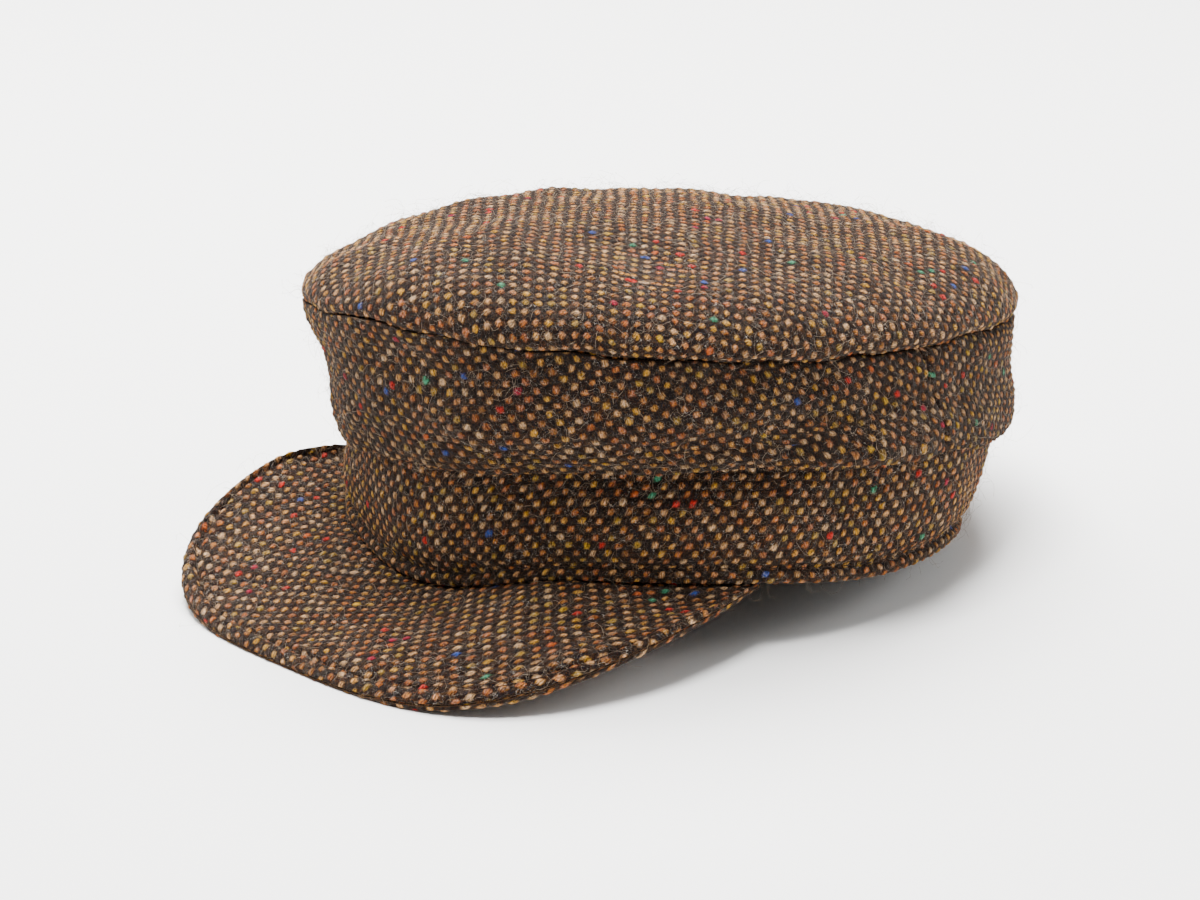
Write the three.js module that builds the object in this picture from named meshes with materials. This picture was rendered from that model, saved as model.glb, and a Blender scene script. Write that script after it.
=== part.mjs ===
// A skipper cap of chunky tweed, standing on the floor as it rests by itself.
// Units are millimetres. The peak points to -Y, the wearer's left is +X, and +Z is up.
// A heading is an angle round the head, from the middle of the peak towards the wearer's left.
import * as THREE from 'three';

// Cloth
const clothWall = 2.2;
const seamGap = 0.3;
const hemThickness = 3;
const hemWidth = 4.2;

// Head opening, measured outside the hem
const openingHalfWidth = 91;
const openingHalfLength = 92.5;
const openingBack = 4;

// Headband: the crease is where the side panel sags over it
const creaseHalfWidth = 89.5;
const creaseHalfLength = 103;
const creaseBack = 9.5;
const creaseHeight = 36.5;
const creaseSag = 20;
const bandTuck = 4;
const bandBelly = 1.6;
const hemDip = 15;

// Side panel and crown
const seamHalfWidth = 91.5;
const seamHalfLength = 115.5;
const seamForward = 2;
const seamHeight = 62.5;
const seamWave = 10;
const seamPuff = 5;
const panelOverhang = 5;
const panelWaist = 4;
const sideSeamHeading = 98;
const domeRise = 28;
const domeSquareness = 2.2;
const edgeRoll = 1.6;

// Peak
const peakHalfWidth = 85.5;
const peakAside = 1;
const peakReach = 47;
const peakRoot = 40;
const peakDrop = 36;
const peakTwist = 4;
const peakSquareness = 3.2;
const peakSide = 0.95;
const peakBow = 0.4;
const peakEndHeading = 65;
const peakTuck = 3.2;
const peakEndWall = 1.2;

// How much the cloth gives where the cap rests
const restFlattening = 1;

// Soft deviations round the head. Each share is of the size that its column names: overhang and
// waist of the panel's, squareness of the dome's.
const roundTheHead = [
  { heading: 0, hemDip: 1.1, creaseSag: 0.8, overhang: 1, waist: 0, seamWave: -0.1, seamPuff: 0.25, squareness: 0.98 },
  { heading: 30, hemDip: 0.35, creaseSag: 0.45, overhang: 1.3, waist: 0, seamWave: 0.05, seamPuff: 0, squareness: 1 },
  { heading: 60, hemDip: 0.05, creaseSag: 0.1, overhang: 1, waist: 0, seamWave: 0.2, seamPuff: 0, squareness: 1 },
  { heading: 90, hemDip: 0, creaseSag: -0.05, overhang: 0.75, waist: 0, seamWave: 0.35, seamPuff: 0, squareness: 0.98 },
  { heading: 120, hemDip: -0.2, creaseSag: 0.1, overhang: 0.25, waist: 0, seamWave: 0.55, seamPuff: 0.15, squareness: 0.9 },
  { heading: 150, hemDip: 0, creaseSag: 0, overhang: 0.5, waist: 0, seamWave: 0.35, seamPuff: 0.45, squareness: 1.08 },
  { heading: 180, hemDip: 0, creaseSag: 0, overhang: 1, waist: 0, seamWave: 0.1, seamPuff: 0, squareness: 1.07 },
  { heading: 210, hemDip: 0, creaseSag: 0, overhang: 0.9, waist: 0, seamWave: -0.4, seamPuff: 0, squareness: 0.91 },
  { heading: 240, hemDip: 0, creaseSag: 0.1, overhang: 0.8, waist: 0, seamWave: -0.35, seamPuff: 0, squareness: 0.83 },
  { heading: 270, hemDip: 0, creaseSag: 0.3, overhang: 0.8, waist: 0, seamWave: -0.35, seamPuff: 0.2, squareness: 0.82 },
  { heading: 300, hemDip: 0.25, creaseSag: 0.7, overhang: 0.3, waist: 0.5, seamWave: -0.75, seamPuff: 0.5, squareness: 0.88 },
  { heading: 330, hemDip: 0.75, creaseSag: 1, overhang: 0, waist: 0.6, seamWave: -0.7, seamPuff: 0.25, squareness: 0.81 },
];

// The side panel from its lower roll up to the crown seam: level is a share of the panel's
// height, out a share of the overhang and pinch a share of the waist.
const panelSection = [
  { level: 0.0, out: 0.0, pinch: 0.0 },
  { level: 0.06, out: 0.55, pinch: 0.0 },
  { level: 0.16, out: 0.95, pinch: 0.1 },
  { level: 0.3, out: 1.0, pinch: 0.5 },
  { level: 0.46, out: 0.7, pinch: 1.0 },
  { level: 0.62, out: 0.35, pinch: 0.8 },
  { level: 0.78, out: 0.1, pinch: 0.2 },
  { level: 0.9, out: 0.0, pinch: 0.0 },
  { level: 1.0, out: 0.0, pinch: 0.0 },
];

// The peak from the hem to its edge: across is the share of the way, rim the share of the
// cover's wall that is left.
const peakSection = [
  { across: 0.0, rim: 1.0 },
  { across: 0.25, rim: 1.0 },
  { across: 0.5, rim: 1.0 },
  { across: 0.75, rim: 1.0 },
  { across: 0.93, rim: 1.0 },
  { across: 1.0, rim: 0.6 },
];

// Fineness of the faceted surfaces
const headingStep = 5;
const domeRows = 10;
const peakStep = 2.5;

const radians = THREE.MathUtils.degToRad;

// A smooth value between the rows of the table round the head.
function roundHead(column, heading) {
  const count = roundTheHead.length;
  const place = ((heading / 360) * count + count) % count;
  const row = Math.floor(place);
  const t = place - row;
  const [a, b, c, d] = [-1, 0, 1, 2].map((k) => roundTheHead[(row + k + count) % count][column]);
  return b + 0.5 * t * (c - a + t * (2 * a - 5 * b + 4 * c - d + t * (3 * (b - c) + d - a)));
}

// A point at a heading on an oval round the head, moved back by a distance.
function oval(halfWidth, halfLength, back, heading, height) {
  const s = Math.sin(radians(heading));
  const c = Math.cos(radians(heading));
  const radius = 1 / Math.hypot(s / halfWidth, c / halfLength);
  return new THREE.Vector3(radius * s, back - radius * c, height);
}

// The same point moved outwards along its heading.
function outwards(point, heading, distance) {
  const s = Math.sin(radians(heading));
  const c = Math.cos(radians(heading));
  return new THREE.Vector3(point.x + distance * s, point.y - distance * c, point.z);
}

function hemPoint(heading) {
  const dip = hemDip * roundHead('hemDip', heading);
  return oval(openingHalfWidth, openingHalfLength, openingBack, heading, -dip);
}

function creasePoint(heading) {
  const height = creaseHeight - creaseSag * roundHead('creaseSag', heading);
  return oval(creaseHalfWidth, creaseHalfLength, creaseBack, heading, height);
}

function seamPoint(heading) {
  const height = seamHeight + seamWave * roundHead('seamWave', heading);
  const point = oval(seamHalfWidth, seamHalfLength, -seamForward, heading, height);
  return outwards(point, heading, seamPuff * roundHead('seamPuff', heading));
}

// Outer and inner points of the headband at one heading, from the hem up to its hidden top.
function bandPairs(heading) {
  const hem = hemPoint(heading);
  const crease = creasePoint(heading);
  const height = crease.z - hem.z;
  const proud = hemThickness - clothWall;
  const levels = [0, hemWidth / 2, hemWidth, hemWidth + proud, height * 0.4, height * 0.7, height];
  const pairs = levels.map((up) => {
    const share = up / height;
    const point = hem.clone().lerp(crease, share);
    const onHem = up <= hemWidth ? proud : 0;
    const belly = bandBelly * Math.sin(Math.PI * share);
    return {
      outer: outwards(point, heading, belly - proud + onHem),
      inner: outwards(point, heading, belly - proud - clothWall),
    };
  });
  const top = new THREE.Vector3(crease.x, crease.y, crease.z + bandTuck);
  pairs.push({ outer: outwards(top, heading, -proud), inner: outwards(top, heading, -proud - clothWall) });
  return pairs;
}

// Outer and inner points of the side panel at one heading, from its roll up to the crown seam.
function panelPairs(heading) {
  const crease = creasePoint(heading);
  const seam = seamPoint(heading);
  const overhang = panelOverhang * roundHead('overhang', heading);
  const waist = panelWaist * roundHead('waist', heading);
  const clear = seamGap + clothWall;
  return panelSection.map(({ level, out, pinch }) => {
    const point = crease.clone().lerp(seam, level);
    const stand = clear * (1 - level) + overhang * out - waist * pinch;
    return {
      outer: outwards(point, heading, stand),
      inner: outwards(point, heading, stand - clothWall),
    };
  });
}

// Outer and inner points of the crown top at one heading, from the seam up to the middle.
function crownPairs(heading) {
  const seam = seamPoint(heading);
  const base = seamHeight + seamGap;
  const power = 2 / (domeSquareness * roundHead('squareness', heading));
  const pairs = [];
  for (let row = 0; row < domeRows; row += 1) {
    const angle = (Math.PI / 2) * (row / domeRows);
    const share = Math.cos(angle) ** power;
    const lift = Math.sin(angle) ** power;
    const roll = edgeRoll * Math.sin(Math.min(Math.PI, 2.5 * angle));
    const rim = (seam.z - seamHeight) * share ** 2;
    const middle = new THREE.Vector3(0, -seamForward, 0);
    const inside = outwards(seam, heading, -clothWall);
    const outer = middle.clone().lerp(outwards(seam, heading, roll), share);
    const inner = middle.clone().lerp(outwards(inside, heading, roll), share);
    outer.z = base + rim + domeRise * lift;
    inner.z = base + rim + (domeRise - clothWall) * lift;
    pairs.push({ outer, inner });
  }
  return pairs;
}

// The peak's edge in the hem's plane and below it. Place runs from -1 to 1 along the edge.
function peakEdge(place) {
  const angle = (Math.PI / 2) * place;
  const along = Math.abs(Math.sin(angle)) ** (2 / peakSquareness);
  const front = Math.abs(Math.cos(angle)) ** (2 / peakSquareness);
  const reach = openingHalfLength - openingBack + peakReach - peakRoot;
  const drop = peakDrop * Math.abs(Math.cos(angle)) ** peakSide;
  return new THREE.Vector3(
    peakHalfWidth * along * Math.sign(place) - peakAside * front,
    -peakRoot - reach * front,
    -drop - peakTwist * Math.sin(angle) * Math.abs(Math.sin(angle)),
  );
}

// Points of one cover of the peak, from under the hem out to the edge. Side is 1 for the upper
// cover and -1 for the under one. The rows run away from the head, so the lower face is outer.
function peakPairs(place, side) {
  const heading = peakEndHeading * place;
  const hem = hemPoint(heading);
  const wall = clothWall - (clothWall - peakEndWall) * place ** 6;
  const root = outwards(hem, heading, -peakTuck);
  const lip = outwards(hem, heading, seamGap);
  root.z = hem.z - seamGap - wall - seamGap / 2;
  lip.z = root.z;
  const edge = outwards(peakEdge(place), heading, 2 * seamGap);
  const bow = peakBow * Math.cos((Math.PI / 2) * place);
  const middles = peakSection.map(({ across, rim }) => {
    const point = lip.clone().lerp(edge, across);
    point.z += bow * 4 * across * (1 - across);
    return { point, rim };
  });
  return [{ point: root, rim: 1 }, ...middles].map(({ point, rim }) => {
    const near = point.clone();
    near.z += (side * seamGap) / 2;
    const far = point.clone();
    far.z += side * (seamGap / 2 + wall * rim);
    return side > 0 ? { outer: near, inner: far } : { outer: far, inner: near };
  });
}

// The cap stands on the edge of the peak and on the back of the hem.
const peakFoot = peakPairs(0, -1).at(-1).outer;
const hemFoot = hemPoint(180);
const restTilt = Math.atan2(hemFoot.z - peakFoot.z, hemFoot.y - peakFoot.y);
const floorLevel = -hemFoot.y * Math.sin(restTilt) + hemFoot.z * Math.cos(restTilt) + restFlattening;

function stand(point) {
  const y = point.y * Math.cos(restTilt) + point.z * Math.sin(restTilt);
  const z = -point.y * Math.sin(restTilt) + point.z * Math.cos(restTilt) - floorLevel;
  return new THREE.Vector3(point.x, y, Math.max(0, z));
}

// A closed wall from rows of outer and inner points. It may run right round, and it may close
// over the middle with one point outside and one inside.
function wallGeometry(rows, { round = false, poles = null } = {}) {
  const levels = rows[0].length;
  const loop = 2 * levels;
  const points = rows.flatMap((row) => [
    ...row.map((pair) => stand(pair.outer)),
    ...row.map((pair) => stand(pair.inner)).reverse(),
  ]);
  const faces = [];
  const at = (row, k) => (row % rows.length) * loop + (k % loop);
  const quad = (a, b, c, d) => faces.push([a, b, c], [a, c, d]);
  const spans = round ? rows.length : rows.length - 1;
  for (let row = 0; row < spans; row += 1) {
    for (let k = 0; k < loop; k += 1) {
      if (poles && k === levels - 1) continue;
      const [a, b, c, d] = [at(row, k), at(row + 1, k), at(row + 1, k + 1), at(row, k + 1)];
      // Both sides of the wall are split along the same diagonal.
      if (k < levels) quad(a, b, c, d);
      else quad(b, c, d, a);
    }
  }
  if (poles) {
    const [outside, inside] = poles.map((pole) => points.push(stand(pole)) - 1);
    for (let row = 0; row < spans; row += 1) {
      faces.push([at(row, levels - 1), at(row + 1, levels - 1), outside]);
      faces.push([at(row + 1, levels), at(row, levels), inside]);
    }
  }
  if (!round) {
    for (let k = 0; k < levels - 1; k += 1) {
      const last = rows.length - 1;
      quad(at(0, k), at(0, k + 1), at(0, loop - 2 - k), at(0, loop - 1 - k));
      quad(at(last, k + 1), at(last, k), at(last, loop - 1 - k), at(last, loop - 2 - k));
    }
  }
  const geometry = new THREE.BufferGeometry();
  geometry.setAttribute('position', new THREE.Float32BufferAttribute(points.flatMap((p) => [p.x, p.y, p.z]), 3));
  geometry.setIndex(faces.flat());
  geometry.computeVertexNormals();
  return geometry;
}

const cap = new THREE.Group();

function addPiece(name, geometry, color) {
  const material = new THREE.MeshStandardMaterial({ color, roughness: 0.95, metalness: 0 });
  const mesh = new THREE.Mesh(geometry, material);
  mesh.name = name;
  cap.add(mesh);
}

// Headings from one angle to another in even steps, both ends included.
function headings(from, to, step = headingStep) {
  const count = Math.round((to - from) / step);
  return Array.from({ length: count + 1 }, (_, k) => from + ((to - from) * k) / count);
}

const fullRound = headings(0, 360).slice(0, -1);
const halfGap = THREE.MathUtils.radToDeg(seamGap / 2 / seamHalfWidth);

addPiece('headband', wallGeometry(fullRound.map(bandPairs), { round: true }), 0x4e392d);

const frontHeadings = headings(-sideSeamHeading + halfGap, sideSeamHeading - halfGap);
addPiece('side_panel_front', wallGeometry(frontHeadings.map(panelPairs)), 0x473327);

const backHeadings = headings(sideSeamHeading + halfGap, 360 - sideSeamHeading - halfGap);
addPiece('side_panel_back', wallGeometry(backHeadings.map(panelPairs)), 0x473327);

const crownPoles = [
  new THREE.Vector3(0, -seamForward, seamHeight + seamGap + domeRise),
  new THREE.Vector3(0, -seamForward, seamHeight + seamGap + domeRise - clothWall),
];
addPiece('crown_top', wallGeometry(fullRound.map(crownPairs), { round: true, poles: crownPoles }), 0x796251);

const peakPlaces = headings(-peakEndHeading, peakEndHeading, peakStep).map((h) => h / peakEndHeading);
addPiece('peak_upper', wallGeometry(peakPlaces.map((place) => peakPairs(place, 1))), 0x715947);
addPiece('peak_under', wallGeometry(peakPlaces.map((place) => peakPairs(place, -1))), 0x62493a);

// The origin is under the middle of the cap's box, on the floor.
const box = new THREE.Box3().setFromObject(cap);
const middle = box.getCenter(new THREE.Vector3());
cap.position.set(-middle.x, -middle.y, -box.min.z);

export default cap;
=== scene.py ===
"""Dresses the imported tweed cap: woven relief, soft dents, seams, topstitching and loose wool.

Sizes are in millimetres in the cap's own frame, as in the part's source, and they turn into
metres where a mesh is made. A heading is an angle round the head in degrees: 0 is the middle of
the peak and 90 the wearer's left.
"""
from __future__ import annotations

import logging
from collections.abc import Callable
from dataclasses import dataclass
from enum import Enum
from functools import partial

import bpy
import numpy as np
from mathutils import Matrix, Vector

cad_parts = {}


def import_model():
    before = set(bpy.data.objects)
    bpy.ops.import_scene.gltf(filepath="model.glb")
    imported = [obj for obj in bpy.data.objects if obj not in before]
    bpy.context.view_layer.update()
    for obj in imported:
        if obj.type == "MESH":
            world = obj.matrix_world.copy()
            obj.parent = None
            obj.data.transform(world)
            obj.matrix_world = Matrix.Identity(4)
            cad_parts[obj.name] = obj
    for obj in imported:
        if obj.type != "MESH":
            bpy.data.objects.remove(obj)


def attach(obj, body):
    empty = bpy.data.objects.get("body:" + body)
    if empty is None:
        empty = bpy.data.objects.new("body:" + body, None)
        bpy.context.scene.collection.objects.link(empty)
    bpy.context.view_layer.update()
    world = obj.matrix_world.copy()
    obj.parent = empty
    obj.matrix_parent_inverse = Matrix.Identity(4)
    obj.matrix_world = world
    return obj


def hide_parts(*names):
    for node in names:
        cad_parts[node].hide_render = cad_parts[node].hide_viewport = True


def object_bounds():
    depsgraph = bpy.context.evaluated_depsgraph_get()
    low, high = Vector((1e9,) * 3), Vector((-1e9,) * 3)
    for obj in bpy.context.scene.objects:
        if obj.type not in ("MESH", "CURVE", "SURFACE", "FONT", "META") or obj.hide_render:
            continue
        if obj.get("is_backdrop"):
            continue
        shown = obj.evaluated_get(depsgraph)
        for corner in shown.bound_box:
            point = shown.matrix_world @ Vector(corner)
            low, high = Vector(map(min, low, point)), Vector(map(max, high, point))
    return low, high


Array = np.ndarray
AddNode = Callable[..., bpy.types.Node]
Stops = tuple[tuple[float, str], ...]
LOG = logging.getLogger("cap")

# How far above the floor the grown pieces stay, in metres.
LEAST_HEIGHT = 0.0001


class Slot(Enum):
    """The record's material slots."""

    BAND = "tweed_band"
    SIDE = "tweed_side"
    TOP = "tweed_top"
    PEAK = "tweed_peak"


# Soft deviations round the head, a row for every 30 degrees. Each share is of the size that its
# column names.
DEVIATIONS = ("hem_dip", "crease_sag", "overhang", "waist", "seam_wave", "seam_puff", "squareness")
ROUND_THE_HEAD = np.array([
    (1.10, 0.80, 1.00, 0.0, -0.10, 0.25, 0.98),
    (0.35, 0.45, 1.30, 0.0, 0.05, 0.00, 1.00),
    (0.05, 0.10, 1.00, 0.0, 0.20, 0.00, 1.00),
    (0.00, -0.05, 0.75, 0.0, 0.35, 0.00, 0.98),
    (-0.20, 0.10, 0.25, 0.0, 0.55, 0.15, 0.90),
    (0.00, 0.00, 0.50, 0.0, 0.35, 0.45, 1.08),
    (0.00, 0.00, 1.00, 0.0, 0.10, 0.00, 1.07),
    (0.00, 0.00, 0.90, 0.0, -0.40, 0.00, 0.91),
    (0.00, 0.10, 0.80, 0.0, -0.35, 0.00, 0.83),
    (0.00, 0.30, 0.80, 0.0, -0.35, 0.20, 0.82),
    (0.25, 0.70, 0.30, 0.5, -0.75, 0.50, 0.88),
    (0.75, 1.00, 0.00, 0.6, -0.70, 0.25, 0.81),
])

# The side panel from its lower roll up to the crown seam: level, share of the overhang, share of
# the waist.
PANEL_SECTION = np.array([
    (0.00, 0.00, 0.0), (0.06, 0.55, 0.0), (0.16, 0.95, 0.1), (0.30, 1.00, 0.5), (0.46, 0.70, 1.0),
    (0.62, 0.35, 0.8), (0.78, 0.10, 0.2), (0.90, 0.00, 0.0), (1.00, 0.00, 0.0),
])


# Where the shape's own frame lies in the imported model's, in mm: the model is centred on its box.
SHAPE_OFFSET = (0.2443, 7.6639)

# Small gathers of the crown seam: how many go round the head, their phase, their share of the height.
SEAM_PUCKERS = ((13, 1.0, 1.0), (22, 2.3, 1.0), (37, 0.0, 0.7))

# How far the crown seam draws in, as a share, at headings from -180 to 180 degrees. It is most at
# the front left, where the top puffs out.
SEAM_DEPTH = np.array([
    (-60, 0.55), (-15, 0.5), (5, 0.35), (20, 0.35), (34, 0.6), (45, 0.85), (65, 0.85), (85, 0.6), (120, 0.55),
])


def smooth_table(x: Array, rows: Array, column: int) -> Array:
    """Reads a table on a smooth curve that doesn't overshoot its rows.

    Args:
        x: Where to read, in the table's first column.
        rows: The table.
        column: The column to read.

    Returns:
        The values, in the shape of x.
    """
    xs, ys = rows[:, 0], rows[:, column]
    rise = np.diff(ys) / np.diff(xs)
    slope = np.zeros(len(xs))
    same = rise[1:] * rise[:-1] > 0
    slope[1:-1][same] = 2 * rise[1:][same] * rise[:-1][same] / (rise[1:] + rise[:-1])[same]
    k = np.clip(np.searchsorted(xs, x, side="right") - 1, 0, len(xs) - 2)
    step = xs[k + 1] - xs[k]
    t = np.clip((x - xs[k]) / step, 0, 1)
    rest = 1 - t
    return (rest * rest * (1 + 2 * t) * ys[k] + t * t * (3 - 2 * t) * ys[k + 1]
            + t * rest * step * (rest * slope[k] - t * slope[k + 1]))


def waves(points: Array, length: float, seed: int, count: int = 14) -> Array:
    """Smooth noise of about unit height from seeded sine waves.

    Args:
        points: Points, any number of axes, in mm.
        length: The usual wavelength in mm.
        seed: Seed of the waves.
        count: How many waves are summed.

    Returns:
        One value for each point.
    """
    rng = np.random.default_rng(seed)
    ways = rng.normal(size=(count, points.shape[-1]))
    ways /= np.linalg.norm(ways, axis=1)[:, None]
    ways *= 2 * np.pi / (length * rng.uniform(0.7, 1.5, (count, 1)))
    phases = rng.uniform(0, 2 * np.pi, count)
    total = np.zeros(points.shape[:-1])
    for way, phase in zip(ways, phases):
        total += np.sin(points @ way + phase)
    return total / np.sqrt(count / 2)


def cell_noise(cells: Array, seed: int) -> Array:
    """A fixed random number from 0 to 1 for each cell of the weave.

    Args:
        cells: Whole cell numbers, with two values on the last axis.
        seed: Seed of the numbers.

    Returns:
        One number for each cell.
    """
    mixed = np.sin(cells[..., 0] * 127.1 + cells[..., 1] * 311.7 + seed * 74.7) * 43758.5453
    return mixed - np.floor(mixed)


@dataclass(frozen=True)
class CapForm:
    """The ovals, sections and resting pose that every piece of the cap is built on."""

    cloth_wall: float = 2.2
    seam_gap: float = 0.3
    hem_thickness: float = 3.0
    opening_half_width: float = 91.0
    opening_half_length: float = 92.5
    opening_back: float = 4.0
    crease_half_width: float = 89.5
    crease_half_length: float = 103.0
    crease_back: float = 9.5
    crease_height: float = 36.5
    crease_sag: float = 20.0
    band_tuck: float = 4.0
    band_belly: float = 1.6
    hem_dip: float = 15.0
    seam_half_width: float = 91.5
    seam_half_length: float = 115.5
    seam_forward: float = 2.0
    seam_height: float = 62.5
    seam_wave: float = 10.0
    seam_puff: float = 5.0
    seam_pucker: float = 0.3
    panel_overhang: float = 5.0
    panel_waist: float = 4.0
    side_seam_heading: float = 98.0
    dome_rise: float = 28.5
    dome_squareness: float = 2.2
    edge_roll: float = 1.6
    peak_half_width: float = 85.5
    peak_aside: float = 1.0
    peak_reach: float = 47.0
    peak_root: float = 40.0
    peak_drop: float = 36.0
    peak_twist: float = 4.0
    peak_squareness: float = 3.2
    peak_side: float = 0.95
    peak_bow: float = 0.4
    peak_end_heading: float = 65.0
    peak_tuck: float = 3.2
    peak_end_wall: float = 1.2
    rest_flattening: float = 1.0

    def share(self, column: str, heading: Array) -> Array:
        """A smooth value between the rows of the table round the head.

        Args:
            column: The deviation.
            heading: Headings in degrees.

        Returns:
            The share at each heading.
        """
        values = ROUND_THE_HEAD[:, DEVIATIONS.index(column)]
        count = len(values)
        place = (heading / 360 * count) % count
        row = np.floor(place).astype(int)
        t = place - row
        a, b, c, d = (values[(row + k) % count] for k in (-1, 0, 1, 2))
        return b + 0.5 * t * (c - a + t * (2 * a - 5 * b + 4 * c - d + t * (3 * (b - c) + d - a)))

    @staticmethod
    def oval(half_width: float, half_length: float, back: float, heading: Array, height: Array) -> Array:
        """Points on an oval round the head.

        Args:
            half_width: Half of its width.
            half_length: Half of its length.
            back: How far its middle lies back.
            heading: Headings in degrees.
            height: Heights of the points.

        Returns:
            The points.
        """
        s, c = np.sin(np.radians(heading)), np.cos(np.radians(heading))
        radius = 1 / np.hypot(s / half_width, c / half_length)
        return np.stack(np.broadcast_arrays(radius * s, back - radius * c, height), -1)

    @staticmethod
    def outwards(points: Array, heading: Array, distance: Array | float) -> Array:
        """The points moved level and outwards along their headings.

        Args:
            points: Points.
            heading: Their headings.
            distance: How far they move.

        Returns:
            The moved points.
        """
        s, c = np.sin(np.radians(heading)), np.cos(np.radians(heading))
        return points + np.stack(np.broadcast_arrays(distance * s, -distance * c, 0 * s), -1)

    def hem(self, heading: Array) -> Array:
        """Points of the hem's lower edge."""
        height = -self.hem_dip * self.share("hem_dip", heading)
        half_width, half_length = self.opening_half_width, self.opening_half_length
        return self.oval(half_width, half_length, self.opening_back, heading, height)

    def crease(self, heading: Array) -> Array:
        """Points of the crease where the side panel sags over the headband."""
        height = self.crease_height - self.crease_sag * self.share("crease_sag", heading)
        return self.oval(self.crease_half_width, self.crease_half_length, self.crease_back, heading, height)

    def seam(self, heading: Array) -> Array:
        """Points of the seam between the side panel and the crown top.

        Args:
            heading: Headings in degrees.

        Returns:
            The points.
        """
        height = self.seam_height + self.seam_wave * self.share("seam_wave", heading)
        turn = np.radians(heading)
        height = height + self.seam_pucker * sum(
            part * np.sin(number * turn + phase) for number, phase, part in SEAM_PUCKERS)
        points = self.oval(self.seam_half_width, self.seam_half_length, -self.seam_forward, heading, height)
        return self.outwards(points, heading, self.seam_puff * self.share("seam_puff", heading))

    @staticmethod
    def gather(heading: Array) -> Array:
        """How far the panel's slack hangs in over the band, as a share: most at the front left."""
        return np.exp(-((np.abs((heading - 38 + 180) % 360 - 180) / 26) ** 4))

    def peak_edge(self, place: Array) -> Array:
        """The peak's edge.

        Args:
            place: From -1 to 1 along the edge.

        Returns:
            The points.
        """
        angle = np.pi / 2 * place
        s, c = np.sin(angle), np.abs(np.cos(angle))
        along, front = np.abs(s) ** (2 / self.peak_squareness), c ** (2 / self.peak_squareness)
        reach = self.opening_half_length - self.opening_back + self.peak_reach - self.peak_root
        return np.stack([
            self.peak_half_width * along * np.sign(place) - self.peak_aside * front,
            -self.peak_root - reach * front,
            -self.peak_drop * c ** self.peak_side - self.peak_twist * s * np.abs(s),
        ], -1)

    def peak_wall(self, place: Array) -> Array:
        """The thickness of each cover of the peak."""
        return self.cloth_wall - (self.cloth_wall - self.peak_end_wall) * place ** 6

    def peak_middle(self, place: Array, across: Array) -> Array:
        """The surface between the peak's two covers.

        Args:
            place: From -1 to 1 along the edge.
            across: From 0 at the hem to 1 at the edge.

        Returns:
            The points.
        """
        heading = self.peak_end_heading * place
        hem = self.hem(heading)
        lip = self.outwards(hem, heading, self.seam_gap)
        lip[..., 2] = hem[..., 2] - 1.5 * self.seam_gap - self.peak_wall(place)
        edge = self.outwards(self.peak_edge(place), heading, 2 * self.seam_gap)
        points = lip + (edge - lip) * across[..., None]
        points[..., 2] += self.peak_bow * np.cos(np.pi / 2 * place) * 4 * across * (1 - across)
        return points

    def peak_length(self, place: Array) -> Array:
        """How far the peak reaches from the hem to its edge."""
        reach = self.peak_middle(place, np.ones_like(place)) - self.peak_middle(place, np.zeros_like(place))
        return np.linalg.norm(reach, axis=1)

    def stand(self, points: Array) -> Array:
        """Turns points so that the cap stands on its hem and its peak, in metres in the frame.

        Args:
            points: Points in the cap's own frame, in mm.

        Returns:
            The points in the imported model's frame.
        """
        foot = self.peak_middle(np.zeros(1), np.ones(1))[0]
        foot[2] -= self.seam_gap / 2 + 0.6 * self.cloth_wall
        back = self.hem(np.array([180.0]))[0]
        tilt = np.arctan2(back[2] - foot[2], back[1] - foot[1])
        s, c = np.sin(tilt), np.cos(tilt)
        floor = -back[1] * s + back[2] * c + self.rest_flattening
        x, y, z = np.moveaxis(points, -1, 0)
        level = np.maximum(0, -y * s + z * c - floor)
        turned = np.stack([x, y * c + z * s, level], -1)
        return (turned + np.array([*SHAPE_OFFSET, 0])) / 1000


def even_headings(start: float, end: float, count: int, finest: float = 45.0) -> Array:
    """Headings that lie closer together on the side that the photograph shows.

    Args:
        start: The first heading.
        end: The last heading.
        count: How many steps there are between them.
        finest: The heading at which the steps are smallest.

    Returns:
        The headings, one more than there are steps.
    """
    fine = np.linspace(start, end, 2000)
    weight = 1 / (1 - 0.22 * np.cos(np.radians(fine - finest)))
    run = np.concatenate([[0], np.cumsum((weight[1:] + weight[:-1]) / 2)])
    return np.interp(np.linspace(0, run[-1], count + 1), run, fine)


def even_rows(profile: Array, count: int) -> tuple[Array, Array]:
    """Spreads the points of each column evenly along its length.

    Args:
        profile: Points, columns by fine rows.
        count: How many rows to make.

    Returns:
        The points, columns by rows, and each point's distance along its column.
    """
    steps = np.linalg.norm(np.diff(profile, axis=1), axis=2)
    run = np.concatenate([np.zeros((len(profile), 1)), np.cumsum(steps, axis=1)], axis=1)
    points = np.empty((len(profile), count, 3))
    wanted = np.linspace(0, 1, count)[None] * run[:, -1:]
    for j, column in enumerate(profile):
        for axis in range(3):
            points[j, :, axis] = np.interp(wanted[j], run[j], column[:, axis])
    return points, wanted


def seam_depth(heading: Array) -> Array:
    """How far the crown seam draws in, with its small puckers.

    Args:
        heading: Headings in degrees.

    Returns:
        The share at each heading.
    """
    turn = (heading + 180) % 360 - 180
    pucker = 1 + 0.16 * (np.sin(np.radians(19 * heading)) + np.sin(np.radians(31 * heading) + 2))
    return pucker * np.interp(turn, SEAM_DEPTH[:, 0], SEAM_DEPTH[:, 1])


def unit(steps: Array) -> Array:
    """The unit directions of some steps."""
    return steps / np.maximum(np.linalg.norm(steps, axis=-1, keepdims=True), 1e-9)


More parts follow.
